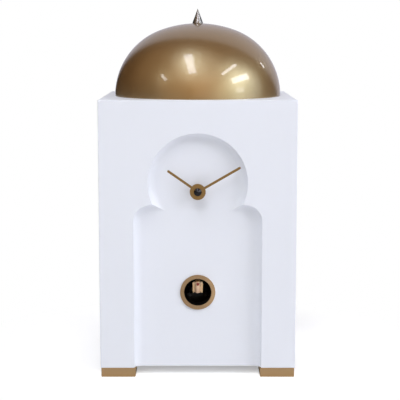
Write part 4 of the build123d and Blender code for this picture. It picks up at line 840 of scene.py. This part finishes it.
jacket_tree = jacket.node_tree
jacket_shader = jacket_tree.nodes["Principled BSDF"]
dark_print = jacket_shader.inputs["Base Color"].links[0].from_socket
on_cells = axes(jacket_tree, object_place(jacket_tree))
back_cell = calc(jacket_tree, "GREATER_THAN", on_cells["Y"], CELLS_MIDDLE[1])
cap_side = calc(jacket_tree, "MULTIPLY_ADD", back_cell, 2.0, -1.0)
along_x = calc(jacket_tree, "SUBTRACT", on_cells["X"], CELLS_MIDDLE[0])
toward_cap = calc(jacket_tree, "MULTIPLY", along_x, cap_side)
band_mask = faded(jacket_tree, toward_cap, BAND_EDGE, BAND_EDGE + BAND_BLUR)
banded = mixed(jacket_tree, band_mask, dark_print, srgb(178, 116, 70))
feed(jacket_shader, {"Base Color": banded})
print("jacket nodes:", len(jacket_tree.nodes))

# %% [markdown]
# The back of the clock movement is a moulded cover. Its makers add a raised border, small ribs that
# stiffen the sheet, a collar round the knob and four little screws. These are thin shapes on the
# flat cover, so bevelled bars, a turned ring and the cross-head screw are enough.

# %% Cover of the movement
COVER_BACK = -87.0
COVER_MIDDLE = 240.0
BORDER = 25.5
SCREW_INSET = 22.5
KNOB_HEIGHT = 220.0
COLLAR_PROFILE = (
    (8.2, -0.3), (8.2, 0.5), (8.6, 0.7), (9.2, 0.7), (9.6, 0.5), (9.6, -0.3), (8.2, -0.3),
)
SMALL_HEAD = (1.0, 0.7, ((1.5, 0.3), (1.5, 0.5), (0.75, 0.0), (0.75, 0.4)))


def bar(work, centre, size):
    """A moulded bar with rounded edges, by its centre and size in mm."""
    made = bmesh.ops.create_cube(work, size=1.0)["verts"]
    bmesh.ops.scale(work, vec=Vector(size) * MM, verts=made)
    bmesh.ops.translate(work, vec=Vector(centre) * MM, verts=made)
    bmesh.ops.bevel(
        work,
        geom=edges_at(made),
        offset=0.3 * MM,
        offset_type="OFFSET",
        segments=2,
        profile=0.5,
        affect="EDGES",
        material=-1,
    )


ribs = bmesh.new()
for side in (-BORDER, BORDER):
    bar(ribs, (side, COVER_BACK + 0.2, COVER_MIDDLE), (1.2, 1.0, 46.0))
for height in (-BORDER, BORDER):
    bar(ribs, (0.0, COVER_BACK + 0.2, COVER_MIDDLE + height), (46.0, 1.0, 1.2))
for height in (4.0, 9.0, 14.0):
    bar(ribs, (0.0, COVER_BACK + 0.15, COVER_MIDDLE + height), (34.0, 0.9, 1.0))
collar = turned(COLLAR_PROFILE, 48)
add_copies(ribs, collar, [aim_at((0.0, COVER_BACK, KNOB_HEIGHT), (0, 1, 0))])
collar.free()
hand_over("movement_ribs", ribs, black_plastic, "case")

cover_screws = bmesh.new()
small_screw = cross_screw(*SMALL_HEAD)
corner_places = [
    aim_at((x, COVER_BACK + 0.8, COVER_MIDDLE + z), INWARDS)
    for x in (-SCREW_INSET, SCREW_INSET)
    for z in (-SCREW_INSET, SCREW_INSET)
]
add_copies(cover_screws, small_screw, corner_places)
small_screw.free()
hand_over("movement_screws", cover_screws, zinc, "case")

# %% [markdown]
# The little bird is turned and carved wood. Its CAD body is only a turned post with a yoke for the
# wings, so a carved figure is put around it: a full breast, a neck, a round head and a flat tail.
# Each is a stretched ball, and a voxel remesh melts them into one skin, which is then smoothed. A
# plane cuts it off flat at its foot, and one face closes it again.

# %% Bird's figure
FIGURE_BALLS = (
    ((0.0, -71.9, 103.4), (3.85, 4.2, 6.8), 6.0),
    ((0.0, -72.8, 105.8), (3.8, 3.9, 5.4), 12.0),
    ((0.0, -71.4, 110.2), (3.35, 3.6, 3.2), 0.0),
    ((0.0, -71.2, 113.4), (3.95, 4.1, 3.85), 0.0),
    ((0.0, -72.6, 112.6), (3.3, 3.2, 2.9), 0.0),
    ((0.0, -67.4, 102.0), (2.8, 4.6, 1.3), -24.0),
)
FIGURE_FOOT = 99.35
FIGURE_VOXEL = 0.22
SMOOTHINGS = 16

balls = bmesh.new()
for centre, radii, lean in FIGURE_BALLS:
    ball = bmesh.ops.create_uvsphere(balls, u_segments=28, v_segments=18, radius=MM)["verts"]
    leaning = Matrix.Rotation(radians(lean), 3, "X")
    bmesh.ops.scale(balls, vec=radii, verts=ball)
    bmesh.ops.rotate(balls, cent=(0.0, 0.0, 0.0), matrix=leaning, verts=ball)
    bmesh.ops.translate(balls, vec=Vector(centre) * MM, verts=ball)
ball_data = bpy.data.meshes.new("figure_balls")
balls.to_mesh(ball_data)
balls.free()
draft = add_object("figure_balls", ball_data)
melt = draft.modifiers.new("melt", "REMESH")
melt.mode = "VOXEL"
melt.voxel_size = FIGURE_VOXEL * MM
soften = draft.modifiers.new("soften", "SMOOTH")
soften.iterations = SMOOTHINGS
melted = bpy.data.meshes.new_from_object(
    draft.evaluated_get(bpy.context.evaluated_depsgraph_get())
)
figure = bmesh.new()
figure.from_mesh(melted)
bpy.data.objects.remove(draft)
bpy.data.meshes.remove(ball_data)
bpy.data.meshes.remove(melted)
cut = bmesh.ops.bisect_plane(
    figure,
    geom=figure.verts[:] + figure.edges[:] + figure.faces[:],
    plane_co=(0.0, 0.0, FIGURE_FOOT * MM),
    plane_no=(0.0, 0.0, -1.0),
    clear_outer=True,
)["geom_cut"]
bmesh.ops.contextual_create(figure, geom=only(bmesh.types.BMEdge, cut))
print("figure vertices:", len(figure.verts))

# %% [markdown]
# Its paint follows the body: a cream breast, a brown cap and back with small flecks, and a red
# throat round the beak. The zones are masks on Object coordinates, and noise bends their edges as a
# small brush would.

# %% Bird's paint
CREAM = srgb(224, 186, 156)
BROWN = srgb(150, 112, 74)
DARK_BROWN = srgb(104, 72, 44)
THROAT_RED = srgb(148, 34, 30)
THROAT = (0.0, -0.0757, 0.1113)
CAP_EDGE = (0.1135, 0.1146)
BACK_EDGE = (-0.0712, -0.0704)
THROAT_EDGE = (0.0021, 0.0016)
BRUSH_WOBBLE = 0.0012

paint, paint_tree, paint_shader = new_finish("bird_paint", CREAM, 0.42)
bird_place = object_place(paint_tree)
wobble = noise(paint_tree, bird_place, 900.0)
on_bird = axes(paint_tree, bird_place)


def zone(coordinate, start, end):
    """A mask that rises between two values of a coordinate, with an edge bent by the noise."""
    bent = calc(paint_tree, "MULTIPLY_ADD", wobble, BRUSH_WOBBLE, coordinate)
    start, end = start + BRUSH_WOBBLE / 2, end + BRUSH_WOBBLE / 2
    return faded(paint_tree, bent, start, end, kind="SMOOTHSTEP")


flecks = add_node(paint_tree, "ShaderNodeTexVoronoi", {"Vector": bird_place, "Scale": 1300.0})
fleck_mask = faded(paint_tree, flecks.outputs["Distance"], 0.34, 0.2, high=0.55)
flecked = mixed(paint_tree, fleck_mask, BROWN, DARK_BROWN)
cap_mask = zone(on_bird["Z"], *CAP_EDGE)
back_mask = zone(on_bird["Y"], *BACK_EDGE)
brown_mask = calc(paint_tree, "MAXIMUM", cap_mask, back_mask)
two_coats = mixed(paint_tree, brown_mask, CREAM, flecked)
from_throat = calc_vector(paint_tree, "DISTANCE", bird_place, THROAT)
throat_mask = faded(paint_tree, from_throat, *THROAT_EDGE)
all_coats = mixed(paint_tree, throat_mask, two_coats, THROAT_RED)
feed(paint_shader, {"Base Color": all_coats, "Normal": bumped(paint_tree, wobble, 0.25)})
wear(paint, "bird_body")
hand_over("bird_figure", figure, paint, "carriage")

# %% [markdown]
# The bird's eyes are two black beads in the sides of the head. Each is a shallow turned button, so
# only its rounded side stands out.

# %% Bird's eyes
HEAD_MIDDLE = Vector((0.0, -71.2, 113.4))
EYE_WAY = (0.74, -0.62, 0.26)
EYE_REACH = 3.95
BEAD_PROFILE = (
    (0.0, 0.5), (0.25, 0.46), (0.46, 0.3), (0.58, 0.0), (0.74, -0.12), (0.5, -0.5), (0.0, -0.5),
)

bead = turned(BEAD_PROFILE, 20)
eyes = bmesh.new()
eye_places = []
for side in (-1, 1):
    outward = Vector((side * EYE_WAY[0], *EYE_WAY[1:])).normalized()
    eye_places.append(aim_at(HEAD_MIDDLE + outward * EYE_REACH, outward))
add_copies(eyes, bead, eye_places)
bead.free()
eye_black = moulded("eye_black", srgb(12, 11, 11), 0.12, 3000.0, 0.02)
hand_over("bird_eyes", eyes, eye_black, "carriage")

# %% [markdown]
# The wings are cut from thin board, and their feathers are carved in rows: short round ones at the
# shoulder and three long ones at the tip. A feather is a turned lens that is stretched along the
# wing, half sunk in the board. A row is its height, how many feathers it has, half their width and
# length, and how much further they stand out than those of the lowest row.

# %% Feathers
FEATHER_ROWS = (
    (102.6, 3, 0.62, 2.7, 0.0),
    (104.9, 2, 0.9, 2.0, 0.08),
    (106.5, 3, 0.66, 1.6, 0.14),
    (107.9, 2, 0.9, 1.4, 0.2),
    (109.2, 3, 0.62, 1.2, 0.26),
)
WING_MIDDLE = 5.2
WING_FRONT = -73.3
FEATHER_STEP = 1.65
LENS_PROFILE = ((0.0, 0.24), (0.5, 0.22), (0.85, 0.14), (1.0, 0.0), (0.9, -0.3), (0.0, -0.3))

lens = turned(LENS_PROFILE, 20)
for side, body in ((-1, "left_wing"), (1, "right_wing")):
    feathers = bmesh.new()
    places = []
    for height, count, half_width, half_length, proud in FEATHER_ROWS:
        stretch = Matrix.Diagonal((half_width, half_length, 1.0, 1.0))
        for number in range(count):
            across = WING_MIDDLE + (number - (count - 1) / 2) * half_width * FEATHER_STEP
            middle = (side * across, WING_FRONT - proud, height)
            places.append(aim_at(middle, INWARDS) @ stretch)
    add_copies(feathers, lens, places)
    hand_over(body + "_feathers", feathers, tan_paint, body)
lens.free()

# %% [markdown]
# The clock stands on a white table that runs on into the white wall. A plain plane is enough for
# it. Close to the clock the camera sees the real surface with its shadow, plus painted light: a
# glow that only the camera sees lightens it a little, and more in front, where it paints out part
# of the shadow under the case. Further away the camera sees pure white, so the table has no edge
# and no horizon.

# %% Floor
FLOOR_SIZE = 6.0
SHADOW_REACH = (0.2, 0.34)
PAINTED_LIGHT_EDGE = (-0.082, -0.115)
PAINTED_LIGHT_STRENGTH = (0.36, 0.62)

floor_mesh = bmesh.new()
bmesh.ops.create_grid(floor_mesh, x_segments=1, y_segments=1, size=FLOOR_SIZE)
floor_data = bpy.data.meshes.new("floor")
floor_mesh.to_mesh(floor_data)
floor_mesh.free()
floor = add_object("floor", floor_data)
floor_finish, floor_tree, floor_shader = new_finish("floor_white", (0.9, 0.9, 0.9), 0.6)
real_floor = floor_shader.outputs["BSDF"]
floor_place = object_place(floor_tree)
from_clock = calc_vector(floor_tree, "LENGTH", floor_place)
far_away = faded(floor_tree, from_clock, *SHADOW_REACH, kind="SMOOTHSTEP")
on_floor = axes(floor_tree, floor_place)
# Painted light: the camera-only glow grows towards the front and lightens the shadow under the
# case.
painted_light_here = faded(floor_tree, on_floor["Y"], *PAINTED_LIGHT_EDGE, *PAINTED_LIGHT_STRENGTH, kind="SMOOTHSTEP")
painted_light, pure_white = (
    add_node(floor_tree, "ShaderNodeEmission", {"Strength": strength}).outputs["Emission"]
    for strength in (painted_light_here, 1.0)
)
seen_floor = chosen(floor_tree, far_away, added(floor_tree, real_floor, painted_light), pure_white)
camera_ray = add_node(floor_tree, "ShaderNodeLightPath").outputs["Is Camera Ray"]
whole_floor = chosen(floor_tree, camera_ray, real_floor, seen_floor)
feed(floor_tree.nodes["Material Output"], {"Surface": whole_floor})
floor_data.materials.append(floor_finish)
print("floor:", floor.dimensions.x, "m wide")
